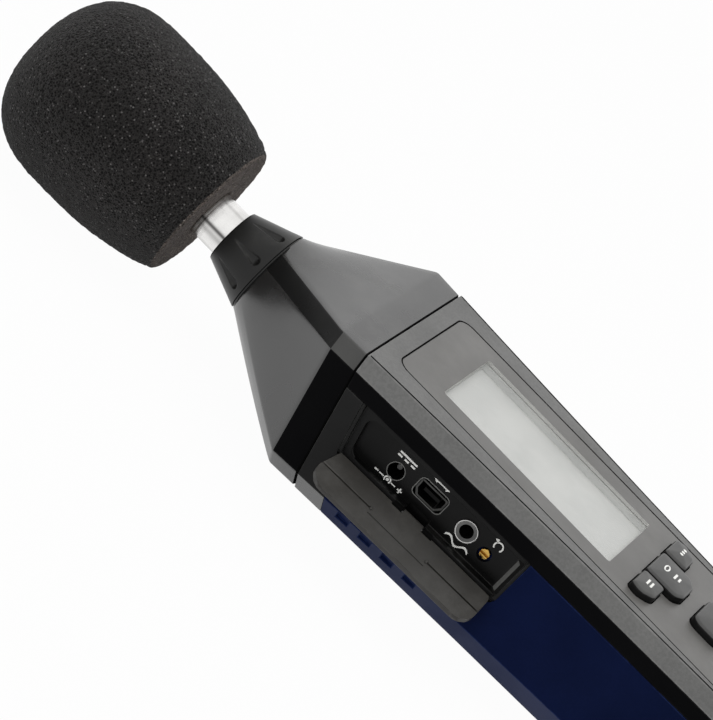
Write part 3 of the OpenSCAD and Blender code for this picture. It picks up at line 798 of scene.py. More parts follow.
class Finishes:
    """All finishes of the meter, by name."""

    def __init__(self) -> None:
        """Builds every material once."""
        effects = Effects()
        self.by_name = {kind.name: kind.make(effects) for kind in FINISHES}

    def dress(self, piece: Piece, name: str) -> None:
        """Gives a piece one finish."""
        piece.data.materials.clear()
        piece.data.materials.append(self.by_name[name])

    def dress_part(self, piece: Piece, name: str, chosen: Array) -> None:
        """Gives some faces of a dressed piece another finish.

        Args:
            piece: The dressed piece.
            name: Name of the other finish.
            chosen: True for each face that takes it.
        """
        numbers = np.empty(len(piece.data.polygons), np.int32)
        piece.data.polygons.foreach_get("material_index", numbers)
        numbers[chosen] = len(piece.data.materials)
        piece.data.materials.append(self.by_name[name])
        piece.data.polygons.foreach_set("material_index", numbers)


# Sub-assemblies

@dataclass(frozen=True)
class Case:
    """Sizes of the case that the sub-assemblies share."""

    seam_y: float = 75.0
    length: float = 164.0
    depth: float = 38.0
    bevel: float = 3.7
    tail_r: float = 16.0
    seam_half: float = 37.4
    taper: float = 0.088  # loss of half width per millimetre, at the seam
    fade: float = 0.00022  # how fast the taper fades
    overlap: float = 8.0  # how far the case's loft goes on under the nose
    spans: int = 8  # spans of the loft, from the tail's corners on

    @property
    def tail_y(self) -> float:
        """Place of the tail along Y."""
        return self.seam_y - self.length

    def half_width(self, y: float | Array) -> float | Array:
        """Half the width at a place along Y: a taper that fades along the case."""
        down = self.seam_y - y
        return self.seam_half - self.taper * down + self.fade * down ** 2


@dataclass
class SubAssembly:
    """Ways to finish a piece that all sub-assemblies share."""

    finishes: Finishes
    case: Case = Case()
    body: ClassVar[str] = "meter"

    def stand_for(self, piece: Piece, node: str, finish: str, body: str | None = None) -> Piece:
        """Dresses a new piece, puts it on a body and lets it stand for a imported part.

        Args:
            piece: The new piece.
            node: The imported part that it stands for.
            finish: Name of its finish.
            body: Body that it rides on, if not the sub-assembly's own.

        Returns:
            The same piece.
        """
        self.finishes.dress(piece, finish)
        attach(piece, body or self.body)
        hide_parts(node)
        log.info("%s stands for %s, %d faces", piece.name, node, len(piece.data.polygons))
        return piece

    def show(self, node: str, finish: str, soft: tuple[float, ...] = (),
             body: str | None = None) -> Piece:
        """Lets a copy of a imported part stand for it, with the rounding that softened takes."""
        return self.stand_for(softened(node, *soft), node, finish, body)

    def add_on(self, piece: Piece, finish: str, body: str | None = None) -> Piece:
        """Dresses an added piece and puts it on a body.

        Args:
            piece: The new piece.
            finish: Name of its finish.
            body: Body that it rides on, if not the sub-assembly's own.

        Returns:
            The same piece.
        """
        self.finishes.dress(piece, finish)
        log.info("%s added", piece.name)
        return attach(piece, body or self.body)

    def paint(self, piece: Piece, **parts: Array) -> None:
        """Gives faces of a dressed piece other finishes, by name, each over the one before."""
        for finish, chosen in parts.items():
            self.finishes.dress_part(piece, finish, chosen)


@dataclass
class Microphone(SubAssembly):
    """Nose, collar, tube, capsule and foam windscreen."""

    axis_z: float = 19.6
    nose_len: float = 34.3
    skirt_len: float = 8.2
    seam_lean: float = 13.0
    # faces of the nose this close to the seam are painted black, as painted shade of the seam
    groove: float = 0.41
    proud: float = 0.35
    lip: float = 0.5
    back_inset: float = 8.0
    back_run: Pair = (4.2, 0.018)  # width of the back's bevel and its loss per millimetre
    back_rise: Pair = (4.9, 0.022)  # height of the same
    edge_angles: tuple[float, ...] = (130, 50, 25, -25, -50, -130, -155, -205, -230)
    edge_wear: tuple[float, ...] = (0, 0.6, 1, 0.6, 0)  # across the points of a corner
    side_spans: int = 22
    edge_soft: float = 0.55
    edge_most: float = 0.3  # of a side, that a softened edge takes at most
    edge_share: float = 0.05  # of a side, that half a corner takes at the collar
    fold: Pair = (0.07, 0.025)  # reach of the crease's fold to the seam and to the collar
    fold_wear: float = 0.7
    rulings: int = 40
    swell: float = 0.5
    swell_turn: Pair = (0.4, 2.0)  # how the swell grows from the sides to the back
    side_way: float = 0.4  # faces that look up or down less than this are upright
    skirt_play: float = 0.3
    collar_r: float = 12.0
    collar_len: float = 12.9
    collar_tip_r: float = 7.25
    collar_cols: int = 480
    collar_rows: int = 90
    collar_step: Pair = (0.6, 0.45)  # depth and length of the step at its foot
    collar_rim: Pair = (0.4, 0.5)  # width and length of its rounded rim
    flutes: int = 8
    flute_r: float = 1.35
    flute_taper: float = 1.1
    flute_foot: float = 3.4
    flute_sink: float = 0.4
    flute_len: float = 8.72
    flute_edge: float = 0.25
    tube_r: float = 6.35
    tube_wall: float = 1.0
    tube_ends: Pair = (-6.0, 30.0)  # from the collar's foot
    tube_round: float = 0.3
    tube_rows: int = 40
    round_cols: int = 360
    foam_gap: float = 7.8
    foam_len: float = 59.0
    foam_r: float = 25.0
    foam_foot_r: float = 19.6
    foam_waist: float = 35.0
    foam_edge: float = 1.8
    foam_lip: float = 0.5  # rounding at the bore's mouth
    foam_cut: float = 0.5  # height of the cut foot, whose paler colour is partly painted light
    foam_rows: tuple[int, ...] = (9, 16, 16, 84, 78)  # bore, foot, edge, barrel and dome
    foam_fade: tuple[int, int] = (4, 6)  # rows over which the noise grows and fades
    foam_shift: float = 0.02
    foam_bore: Pair = (0.25, 26.0)  # play round the tube, and depth
    barrel_power: float = 2.6
    dome_power: float = 2.55
    foam_noise: tuple[tuple[float, float, int], ...] = (  # height, size and seed
        (0.11, 1.5, 3), (0.12, 0.8, 7), (0.06, 7.0, 11))
    streaks: tuple[Triple, ...] = (  # dark streaks of painted reflection: angle, width and darkness
        (174, 5, 0.9), (189, 8, 0.4), (236, 12, 0.35), (112, 5, 0.25), (60, 4, 0.4), (20, 6, 0.6),
        (320, 7, 0.5), (280, 5, 0.3))

    def build(self) -> None:
        """Builds and dresses every piece in order."""
        nose = self.stand_for(self.nose(), "nose_cap", "nose_grey")
        drop = self.seam_drop(face_centres(nose))
        bevel = read(nose.data.attributes["band"].data, "value", 1)[:, 0] > 0.5
        skirt = drop < self.skirt_len - self.skirt_play
        upright = np.abs(face_ways(nose)[:, 2]) < self.side_way
        # Painted light on the nose, which is one moulded plastic: its bevel band darker as painted
        # shade, the skirt's stretch of that band lighter as painted light, the upright sides of the
        # skirt near black as painted shade, and the lip at the seam black as painted shade of the
        # seam.
        self.paint(nose, nose_dark=bevel, skirt_grey=bevel & skirt,
                   case_side=skirt & upright & ~bevel, groove_black=drop < self.groove)
        self.stand_for(self.collar(), "mic_collar", "collar_black")
        self.stand_for(self.tube(), "mic_tube", "steel")
        for node in ("mic_capsule", "mic_grid"):
            self.show(node, "plain_steel", (0.12, 30, 0.6))
        foam = self.stand_for(self.foam(), "windscreen", "foam", "windscreen")
        # The cut foot takes a paler, warmer foam: partly its open cells, partly painted light.
        self.paint(foam, foam_cut=face_centres(foam)[:, 1] < self.foam_y + self.foam_cut)

    @property
    def nose_y(self) -> float:
        """Place of the collar's foot along Y."""
        return self.case.seam_y + self.nose_len

    @property
    def foam_y(self) -> float:
        """Place of the foam's foot along Y."""
        return self.nose_y + self.collar_len + self.foam_gap

    def lean(self, z: Array) -> Array:
        """How far the leaning seam lies along Y at a height, counted from the face."""
        return math.tan(math.radians(self.seam_lean)) * (z - self.case.depth)

    def seam_drop(self, places: Array) -> Array:
        """Gives the distance of places from the leaning seam, along Y."""
        return places[:, 1] - self.case.seam_y - self.lean(places[:, 2])

    def section(self, drop: float, inset: float) -> Array:
        """Softened ring of the nose on a plane that leans as the seam does.

        Its eight corners are those of the case. Each straight run has the same number of points,
        and each corner is a parabola.

        Args:
            drop: Distance from the seam.
            inset: How far the section is drawn in.

        Returns:
            Points of the ring, the same number at each side.
        """
        c = self.case.bevel
        s, top = self.case.half_width(self.case.seam_y + drop) - inset, self.case.depth - inset
        run, rise = (size - loss * drop for size, loss in (self.back_run, self.back_rise))
        x = np.array([-s + c, s - c, s, s, s - run, -s + run, -s, -s])
        z = np.array([top, top, top - c, inset + rise, inset, inset, inset + rise, top - c])
        corners = np.stack([x, self.case.seam_y + drop + self.lean(z), z], 1)
        side = np.roll(corners, -1, 0) - corners
        size = np.linalg.norm(side, axis=1, keepdims=True)
        cut = unit(side) * np.minimum(self.edge_soft, size * self.edge_most)
        a, b = corners - np.roll(cut, 1, 0), corners + cut
        t = np.linspace(0, 1, len(self.edge_wear))[None, :, None]
        u = np.linspace(0, 1, self.side_spans + 1)[1:-1][None, :, None]
        bend = parabola(a[:, None], corners[:, None], b[:, None], t)
        straight = b[:, None] * (1 - u) + np.roll(a, -1, 0)[:, None] * u
        return np.concatenate([bend, straight], 1).reshape(-1, 3)

    def end_angles(self) -> Array:
        """Angles round the nose's end that the points of a section run to.

        Returns:
            One angle for each point: steps across each corner, then along each side.
        """
        angles = np.radians(np.array(self.edge_angles, float))[:, None]
        start, step = angles[:-1], np.diff(angles, axis=0)
        t = np.linspace(-self.edge_share, self.edge_share, len(self.edge_wear))[None]
        u = np.linspace(self.edge_share, 1 - self.edge_share, self.side_spans + 1)[1:-1][None]
        bend = start + np.where(t < 0, np.roll(step, 1, 0), step) * t
        return np.concatenate([bend, start + step * u], 1).reshape(-1)

    def nose(self) -> Piece:
        """Nose: rings from the seam over the crease, then straight rulings to a circle.

        The fold at the crease is a parabola, and the back swells by 4 s (1 - s) along the rulings.

        Returns:
            The piece.
        """
        low_share, high_share = self.fold
        crease = self.section(self.skirt_len, self.proud)
        seam = self.section(0.0, self.proud)
        lip = self.section(0.0, self.proud + self.lip)
        back = self.section(0.0, self.back_inset)
        way = round_points(self.end_angles())
        circle, hole = (np.stack([r * way[:, 0], np.full(len(way), self.nose_y),
                                  self.axis_z + r * way[:, 1]], 1)
                        for r in (self.collar_r, self.tube_r))
        inner = hole * [1, 0, 1] + [0, self.case.seam_y, 0]
        t = np.linspace(0, 1, len(self.edge_wear))[:, None, None]
        s = np.linspace(high_share, 1, self.rulings)[1:, None, None]
        fold = parabola(crease + (seam - crease) * low_share, crease,
                        crease + (circle - crease) * high_share, t)
        out = unit((crease - [0, 0, self.axis_z]) * [1, 0, 1])
        start, growth = self.swell_turn
        swell = self.swell * np.clip(start - growth * out[:, 2:3], 0, 1) * out
        body = crease * (1 - s) + circle * s + swell * 4 * s * (1 - s)
        first = np.stack([back, lip, seam + (crease - seam) * low_share])
        rings = np.concatenate([first, fold, body, np.stack([hole, inner, back])])
        per_side = len(way) // 8
        wear = np.concatenate([self.edge_wear, np.zeros(per_side - len(self.edge_wear))])
        edge = np.tile(wear, (len(rings), 8))
        crease_row = len(first) + len(fold) // 2
        edge[crease_row] = np.maximum(edge[crease_row], self.fold_wear)
        side = (np.arange(len(way)) - len(self.edge_wear) // 2) % len(way) // per_side
        # Faces of the two bevel sides, which take painted shade.
        band = np.tile((side == 1) | (side == 7), len(rings) - 1)
        return put_mesh("nose", rings, sharp=60.0, edge=edge, band=band)

    def collar(self) -> Piece:
        """Collar: a cone r(y) less flutes of depth sqrt(q^2 - s^2) - sink.

        Here s is the arc from the middle of a flute. Its radius q grows as a ball over the foot
        and then fades along the collar.

        Returns:
            The piece.
        """
        end, tip, (step, step_len) = self.collar_len, self.collar_tip_r, self.collar_step
        rim, rim_len = self.collar_rim
        bore, wide = self.tube_r, self.collar_r
        foot = [(bore, 0.0), (wide - step, 0.0), (wide - step, step_len)]
        last = [(tip + rim - 0.1, end - 0.15), (tip, end), (bore, end)]
        y = np.linspace(step + 0.02, end - rim_len, self.collar_rows)
        cone = wide + (tip + rim - wide) * (y - step) / (end - rim_len - step)
        r, y = np.concatenate([foot, np.stack([cone, y], 1), last]).T
        a = np.linspace(0, TURN, self.collar_cols, endpoint=False)[None]
        pitch = TURN / self.flutes
        s = ((a - np.pi / 2) % pitch - pitch / 2) * r[:, None]
        up = y - self.flute_foot
        ball = np.sqrt(np.clip(self.flute_r ** 2 - up ** 2, 0, None))
        fading = self.flute_r - self.flute_taper * np.clip(up / self.flute_len, 0, 1)
        q = np.where(up < 0, ball, fading)[:, None]
        dip = np.clip(np.sqrt(np.clip(q ** 2 - s ** 2, 0, None)) - self.flute_sink, 0, None)
        dip[:len(foot)], dip[-len(last):] = 0, 0
        deep = r[:, None] - dip
        near = np.abs(q - self.flute_sink - np.abs(s)) / self.flute_edge
        edge = np.clip(1 - near, 0, 1) * (q > 0.5)
        points = np.stack([deep * np.cos(a), self.nose_y + y[:, None] + 0 * a,
                           self.axis_z + deep * np.sin(a)], -1)
        closed, worn = (np.concatenate([rows, rows[:1]]) for rows in (points, edge))
        return put_mesh("collar", closed, sharp=60.0, edge=worn)

    def tube(self) -> Piece:
        """Tube: a turned profile with a chamfered end.

        Its dark streaks of painted reflection are sums of exp(-((a - a0) / w)^2) round it.

        Returns:
            The piece.
        """
        start, end = (self.nose_y + reach for reach in self.tube_ends)
        outer, bore = self.tube_r, self.tube_r - self.tube_wall
        wall = np.stack([np.full(self.tube_rows, outer),
                         np.linspace(start, end - self.tube_round, self.tube_rows)], 1)
        last = [[outer - self.tube_round, end], [bore, end], [bore, start]]
        profile = np.concatenate([[[bore, start]], wall, last])
        made = put_mesh("tube", turned(profile, self.round_cols, self.axis_z), sharp=60.0)
        spots = read(made.data.vertices, "co") / MM
        angle = np.degrees(np.arctan2(spots[:, 2] - self.axis_z, spots[:, 0]))
        dark = sum(deep * np.exp(-(((angle - at + 180) % 360 - 180) / wide) ** 2)
                   for at, wide, deep in self.streaks)
        note(made.data, "streak", "POINT", np.clip(dark, 0, 1))
        return made

    def foam(self) -> Piece:
        """Foam: a barrel R - d ((w - y) / w)^p under a dome R (1 - u^n)^(1 / n), with a bore.

        Noise moves its points along the profile's normal, less and less towards bore and pole.

        Returns:
            The piece.
        """
        (play, deep), soft, n = self.foam_bore, self.foam_edge, self.dome_power
        bore_n, flat_n, edge_n, barrel_n, dome_n = self.foam_rows
        bore, waist, lip = self.tube_r + play, self.foam_waist, self.foam_lip
        inner = np.stack([np.append(0.001, np.full(bore_n, bore)),
                          np.append(deep, np.linspace(deep, lip, bore_n))], 1)
        t = np.linspace(0, np.pi / 2, edge_n)
        foot = np.stack([self.foam_foot_r + 0.35 - soft + soft * np.sin(t),
                         soft - soft * np.cos(t)], 1)
        flat = np.linspace([bore + lip, 0], foot[0], flat_n)[:-1]
        y = np.linspace(soft, waist, barrel_n)[1:]
        draw = (self.foam_r - self.foam_foot_r) * ((waist - y) / waist) ** self.barrel_power
        u = np.sin(np.linspace(0, np.pi / 2, dome_n)[1:])
        dome = np.stack([self.foam_r * np.clip(1 - u ** n, 0, None) ** (1 / n),
                         waist + (self.foam_len - waist) * u], 1)
        profile = np.concatenate([inner, flat, foot, np.stack([self.foam_r - draw, y], 1), dome])
        rings = turned(profile + [0, self.foam_y], self.round_cols, self.axis_z)
        normal = unit(np.gradient(profile, axis=0)[:, ::-1] * [1, -1])
        way = turned(normal, self.round_cols, 0.0)
        rough = sum(height * value_noise(rings.reshape(-1, 3), size, seed)
                    for height, size, seed in self.foam_noise).reshape(rings.shape[:2])
        row, (grow, end) = np.arange(len(profile)), self.foam_fade
        fade = np.clip((row - bore_n) / grow, 0, 1) * np.clip((row[-1] - row) / end, 0, 1)
        rings = rings + way * (rough * fade[:, None])[..., None] - [0, self.foam_shift, 0]
        return put_mesh("foam", rings, sharp=80.0)


@dataclass
class CaseShell(SubAssembly):
    """Front and rear case, grip, screws, tripod thread and battery door."""

    bevel_top: float = 36.0
    grip_joint_y: float = 14.55
    near: float = 0.05  # how close a point lies to its place on the bevel
    side_way: float = 0.35  # faces that look up less than this are the side, which takes painted shade
    under_way: float = -0.3  # faces that look up less than this are the underside

    def build(self) -> None:
        """Builds and dresses every piece in order."""
        front = softened("front_case", 0.35, 24, 1.2, reshape=self.even_tail)
        self.stand_for(front, "front_case", "case_grey")
        low = face_centres(front)[:, 2] < self.bevel_top
        # The upright sides below the bevel take painted shade: a near-black copy of the case's
        # plastic.
        self.paint(front, case_side=low & (face_ways(front)[:, 2] < self.side_way))
        rear = self.show("rear_case", "case_dark", (0.2, 30, 1.5))
        self.paint(rear, nose_grey=face_ways(rear)[:, 2] < self.under_way)
        for node in ("grip_skin", "grip_fore"):
            grip = self.show(node, "grip_blue", (0.25, 30, 1.2, self.grip_joint_y))
            # The grip's downward bevels take painted light: a lighter copy of the blue, as the
            # floor's painted reflection.
            self.paint(grip, grip_bevel=face_ways(grip)[:, 2] < self.under_way)
        for node, finish, soft, body in (
                ("battery_cover", "grip_blue", (0.25, 60, 3.0), "battery_door"),
                ("case_screws", "plain_steel", (0.1, 30, 0.5), None),
                ("cover_screw", "plain_steel", (0.1, 30, 0.5), "battery_door"),
                ("tripod_insert", "brass", (0.15, 30, 0.5), None),
                ("battery", "battery_can", (), None),
                ("battery_clip", "socket_black", (), None)):
            self.show(node, finish, soft, body)

    def even_tail(self, work: BMesh) -> None:
        """Carries the front's bevel evenly round the tail.

        At the turn a of the tail's corner, the bevel's lower point goes to one height. Its upper
        point goes to the face, drawn in from the lower one by the bevel's width along
        (sin a, -cos a).

        Args:
            work: Mesh of the front case, which is changed.
        """
        bevel, depth = self.case.bevel, self.case.depth
        corners = list(work.verts)
        spots = np.array([v.co for v in corners]) / MM
        from_tail = spots[:, 1] - self.case.tail_y
        turn = np.arccos(np.clip(1 - from_tail / self.case.tail_r, 0, 1))
        wide = self.case.half_width(spots[:, 1]) - self.case.tail_r * (1 - np.sin(turn))
        top = depth - np.maximum(0, bevel - from_tail)
        out, up = np.abs(spots[:, 0]), spots[:, 2]
        low = np.hypot(out - wide, up - top + bevel) < self.near
        high = np.hypot(out - wide + bevel, up - top) < self.near
        spots[low, 2] = depth - bevel
        drawn = np.stack([np.sign(spots[:, 0]) * (wide - bevel * np.sin(turn)),
                          spots[:, 1] + bevel * np.cos(turn), np.full(len(spots), depth)], 1)
        spots[high] = drawn[high]
        for corner, spot in zip(corners, spots):
            corner.co = spot * MM
        left, right = (corners[k] for k in np.flatnonzero(low & (from_tail < self.near)))
        shared = next(face for face in left.link_faces if face in right.link_faces)
        bmesh.utils.face_split(shared, left, right)
        work.normal_update()


class Legend(Enum):
    """Plain sign on a key."""

    RING = "ring"
    STACK = "stack"
    DOWN = "down"
    BARS = "bars"
    DOTS = "dots"


@dataclass
class FacePanel(SubAssembly):
    """Label, display and keys."""

    label_w: float = 47.4
    label_r: float = 3.5
    label_top: float = 5.4
    label_end: float = 132.0
    label_film: float = 0.6  # its thickness at most
    label_rise: float = 0.27
    window_w: float = 34.0
    window_len: float = 55.8
    window_top: float = 17.5
    window_play: float = 0.3
    pane_rise: float = 0.36
    frame_rise: float = 0.33
    rise_zone: Pair = (2.0, 1.2)  # below the face, where pane and frame are raised
    top_way: float = 0.5  # faces that look up more than this are tops
    wall_way: float = 0.9  # faces that look up or down less than this are walls
    line_w: float = 0.4
    line_in: float = 0.2
    line_rise: float = 0.02
    sign_rise: float = 0.05
    key_rise: float = 2.4
    key_foot: float = 34.2
    key_round: float = 1.0
    key_crown: float = 0.35
    gap: float = 0.35
    row_drop: tuple[float, ...] = (79.9, 95.9, 114.5)
    row_reach: tuple[float, ...] = (7.5, 10.8, 8.2)
    middle_reach: float = 12.2
    middle_half: tuple[float, ...] = (7.6, 8.7, 7.6)
    side_in: float = 8.2
    side_out: float = 20.4

    def build(self) -> None:
        """Builds and dresses every piece in order."""
        face = self.case.depth
        film = softened("label_panel", 0.1, 30, 0.8)
        lift(film, face - self.label_film, face, self.label_rise)
        label = self.stand_for(film, "label_panel", "label_film")
        # The label's window walls take the frame's pale colour as painted light.
        self.paint(label, frame_light=self.at_window(face_centres(label), face_ways(label)))
        # The line round the label stands for its gap; the line along the face's crease is painted
        # shade.
        for name, rows in (("label_line", self.label_line()), ("face_line", self.face_line())):
            strip = put_strip(name, at_height(rows, face), np.array([0, 0, self.line_rise]))
            self.add_on(strip, "groove_black")
        low, high = (face - down for down in self.rise_zone)
        lift(self.show("display_window", "window_clear"), low, high, self.pane_rise)
        self.show("display_glass", "display_cell")
        self.show("keypad_mat", "mat_rubber")
        rim = lift(self.show("display_frame", "frame_light"), low, high, self.frame_rise)
        # The frame's tops take painted light: a brighter copy of its colour, where it lies in shade
        # under the label.
        self.paint(rim, frame_top=face_ways(rim)[:, 2] > self.top_way)
        keys = {
            "key_top_left": (self.side_key(0, -1), Legend.BARS),
            "key_top_middle": (self.middle_key(0), Legend.STACK),
            "key_top_right": (self.side_key(0, 1), Legend.DOTS),
            "key_middle": (self.middle_key(1), Legend.RING),
            "key_low_left": (self.side_key(2, -1), Legend.DOTS),
            "key_low_middle": (self.middle_key(2), Legend.DOWN),
            "key_low_right": (self.side_key(2, 1), Legend.BARS),
        }
        for node, (outline, legend) in keys.items():
            cap = self.stand_for(self.key(node, outline), node, "key_rubber", node)
            # The keys' walls take painted shade: a darker copy of their rubber.
            self.paint(cap, key_wall=face_ways(cap)[:, 2] < self.top_way)
            centre = (outline.min(0) + outline.max(0)) / 2
            for number, mark in enumerate(self.legend(legend)):
                flat = at_height(mark + centre, face + self.key_rise)
                sign = put_strip(f"{node}_sign_{number}", flat, np.array([0, 0, self.sign_rise]))
                self.add_on(sign, "print_white", node)

    def at_window(self, middle: Array, ways: Array) -> Array:
        """Picks the upright faces round the display window, which take the frame's pale colour as
        painted light.

        Args:
            middle: Middle of each face.
            ways: Direction that each face looks in.

        Returns:
            True for each face of the window's walls.
        """
        top, play = self.case.seam_y - self.window_top, self.window_play
        across = np.abs(middle[:, 0]) < self.window_w / 2 + play
        along = np.abs(middle[:, 1] - top + self.window_len / 2) < self.window_len / 2 + play
        return across & along & (np.abs(ways[:, 2]) < self.wall_way)

    def label_line(self) -> Array:
        """Gap round the label: its rounded outline, and the same drawn out.

        Returns:
            Two closed rows of flat points.
        """
        half = self.label_w / 2
        low, top = self.case.seam_y - self.label_end, self.case.seam_y - self.label_top
        return loops([rounded_box(half + by, low - by, top + by, self.label_r + by)
                      for by in (0.0, self.line_w)])

    def face_line(self) -> Array:
        """Black line of painted shade inside the face's edge, along its crease: the half width less
        the bevel, with arcs round the tail.

        At the turn a of the tail's corner of radius R, the arc lies (R - bevel) sin a out.

        Returns:
            Two rows of flat points.
        """
        r, bevel, tail = self.case.tail_r, self.case.bevel, self.case.tail_y
        turn = np.radians(np.linspace(0, 90, 40))
        foot = tail + r * (1 - np.cos(turn))
        bend = np.stack([self.case.half_width(foot) - r + (r - bevel) * np.sin(turn),
                         foot + bevel * np.cos(turn)], 1)
        rings = np.linspace(r, self.case.length + self.case.overlap, self.case.spans + 1)
        down = np.linspace(r, self.case.length - 0.6, 200)[1:]
        edge = np.interp(down, rings, self.case.half_width(tail + rings) - bevel)
        side = np.concatenate([bend, np.stack([edge, tail + down], 1)])
        across = np.stack([np.linspace(-side[0, 0], side[0, 0], 60)[1:-1],
                           np.full(58, side[0, 1])], 1)
        path = np.concatenate([(side * [-1, 1])[::-1], across, side])
        inward = unit(np.gradient(path, axis=0)[:, ::-1] * [-1, 1])
        return np.stack([path + inward * (self.line_in + by) for by in (0.0, self.line_w * 1.5)])

    def side_key(self, row: int, hand: int) -> Array:
        """Outline of a side key: straight towards the middle key, round outside.

        Args:
            row: Number of the row.
            hand: 1 for the right side, -1 for the left.

        Returns:
            Points of the outline.
        """
        g, start = self.gap, self.case.seam_y - self.row_drop[row]
        top, low = start - g, start - self.row_reach[row] + g
        a, b = self.side_in + g, self.side_out - g
        outline = rounded([(a, low), (b - 3, low), (b, top - 3), (b - 1.2, top), (a, top)],
                          [1, 3.2 - g, 3 - g, 1.6 - g, 1])
        return outline if hand > 0 else (outline * [-1, 1])[::-1]

    def middle_key(self, row: int) -> Array:
        """Outline of a middle key, with both lower corners round.

        The keys of the outer rows are longer than their rows: down from the first row, and up from
        the last.

        Args:
            row: Number of the row.

        Returns:
            Points of the outline.
        """
        reach, r = (self.row_reach[1], 3) if row == 1 else (self.middle_reach, 1)
        above = self.middle_reach - self.row_reach[2] if row == 2 else 0
        top = self.case.seam_y - self.row_drop[row] + above - self.gap
        low, half = top - reach + 2 * self.gap, self.middle_half[row] - self.gap
        return rounded([(-half, low + 2), (-half + 3, low), (half - 3, low), (half, low + 2),
                        (half, top), (-half, top)], [2.4] * 4 + [r] * 2)

    def key(self, node: str, outline: Array) -> Piece:
        """Key: a wall, a rounded rim of radius f, and a crowned top c (1 - q^2) over the rest q.

        Args:
            node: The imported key.
            outline: Points of its outline.

        Returns:
            The piece.
        """
        f, foot = self.key_round, self.key_foot
        top = self.case.depth + self.key_rise - self.key_crown
        centre = (outline.min(0) + outline.max(0)) / 2
        away = outline - centre
        far = np.linalg.norm(away, axis=1, keepdims=True)
        t = np.linspace(0, np.pi / 2, 7)[1:]
        inward = np.concatenate([[0, 0], f * (1 - np.cos(t))])[:, None, None]
        height = np.concatenate([[foot, top - f], top - f + f * np.sin(t)])[:, None, None]
        walls = at_height(centre + away * (1 - inward / far), height)
        q = np.linspace(1, 0, 16)[1:, None, None]
        crown = at_height(centre + away * (1 - f / far) * q, top + self.key_crown * (1 - q ** 2))
        under = at_height(np.broadcast_to(centre, outline.shape), foot)
        rings = np.concatenate([under[None], walls, crown])
        edge = np.zeros(rings.shape[:2])
        edge[4:7] = 1  # the middle rows of the rim
        return put_mesh(node + "_cap", rings, sharp=70.0, edge=edge)

    @staticmethod
    def legend(kind: Legend) -> list[Array]:
        """Strips of a sign, flat and centred on zero.

        Args:
            kind: Which sign.

        Returns:
            Arrays of two rows of points.
        """
        count, w, h = 49, 1.5, 0.3
        rim = round_points(np.linspace(0, TURN, count))
        oval = np.stack([rim * [1.8, 0.8], rim * [1.35, 0.4]])
        wedge = np.array([[[-1.4, 0.9], [1.4, 0.9]], [[0, -1.1], [PIN, -1.1]]])
        return {
            Legend.RING: [oval],
            Legend.STACK: [oval + [0, 2.2], bar(0, -0.6, w, h), bar(0, -1.9, 0.7 * w, h)],
            Legend.DOWN: [wedge],
            Legend.BARS: [bar(0, y, w, h) for y in (0.6, -0.6)],
            Legend.DOTS: [dot(x, 0, 0.5, count) for x in (-w, 0, w)],
        }[kind]


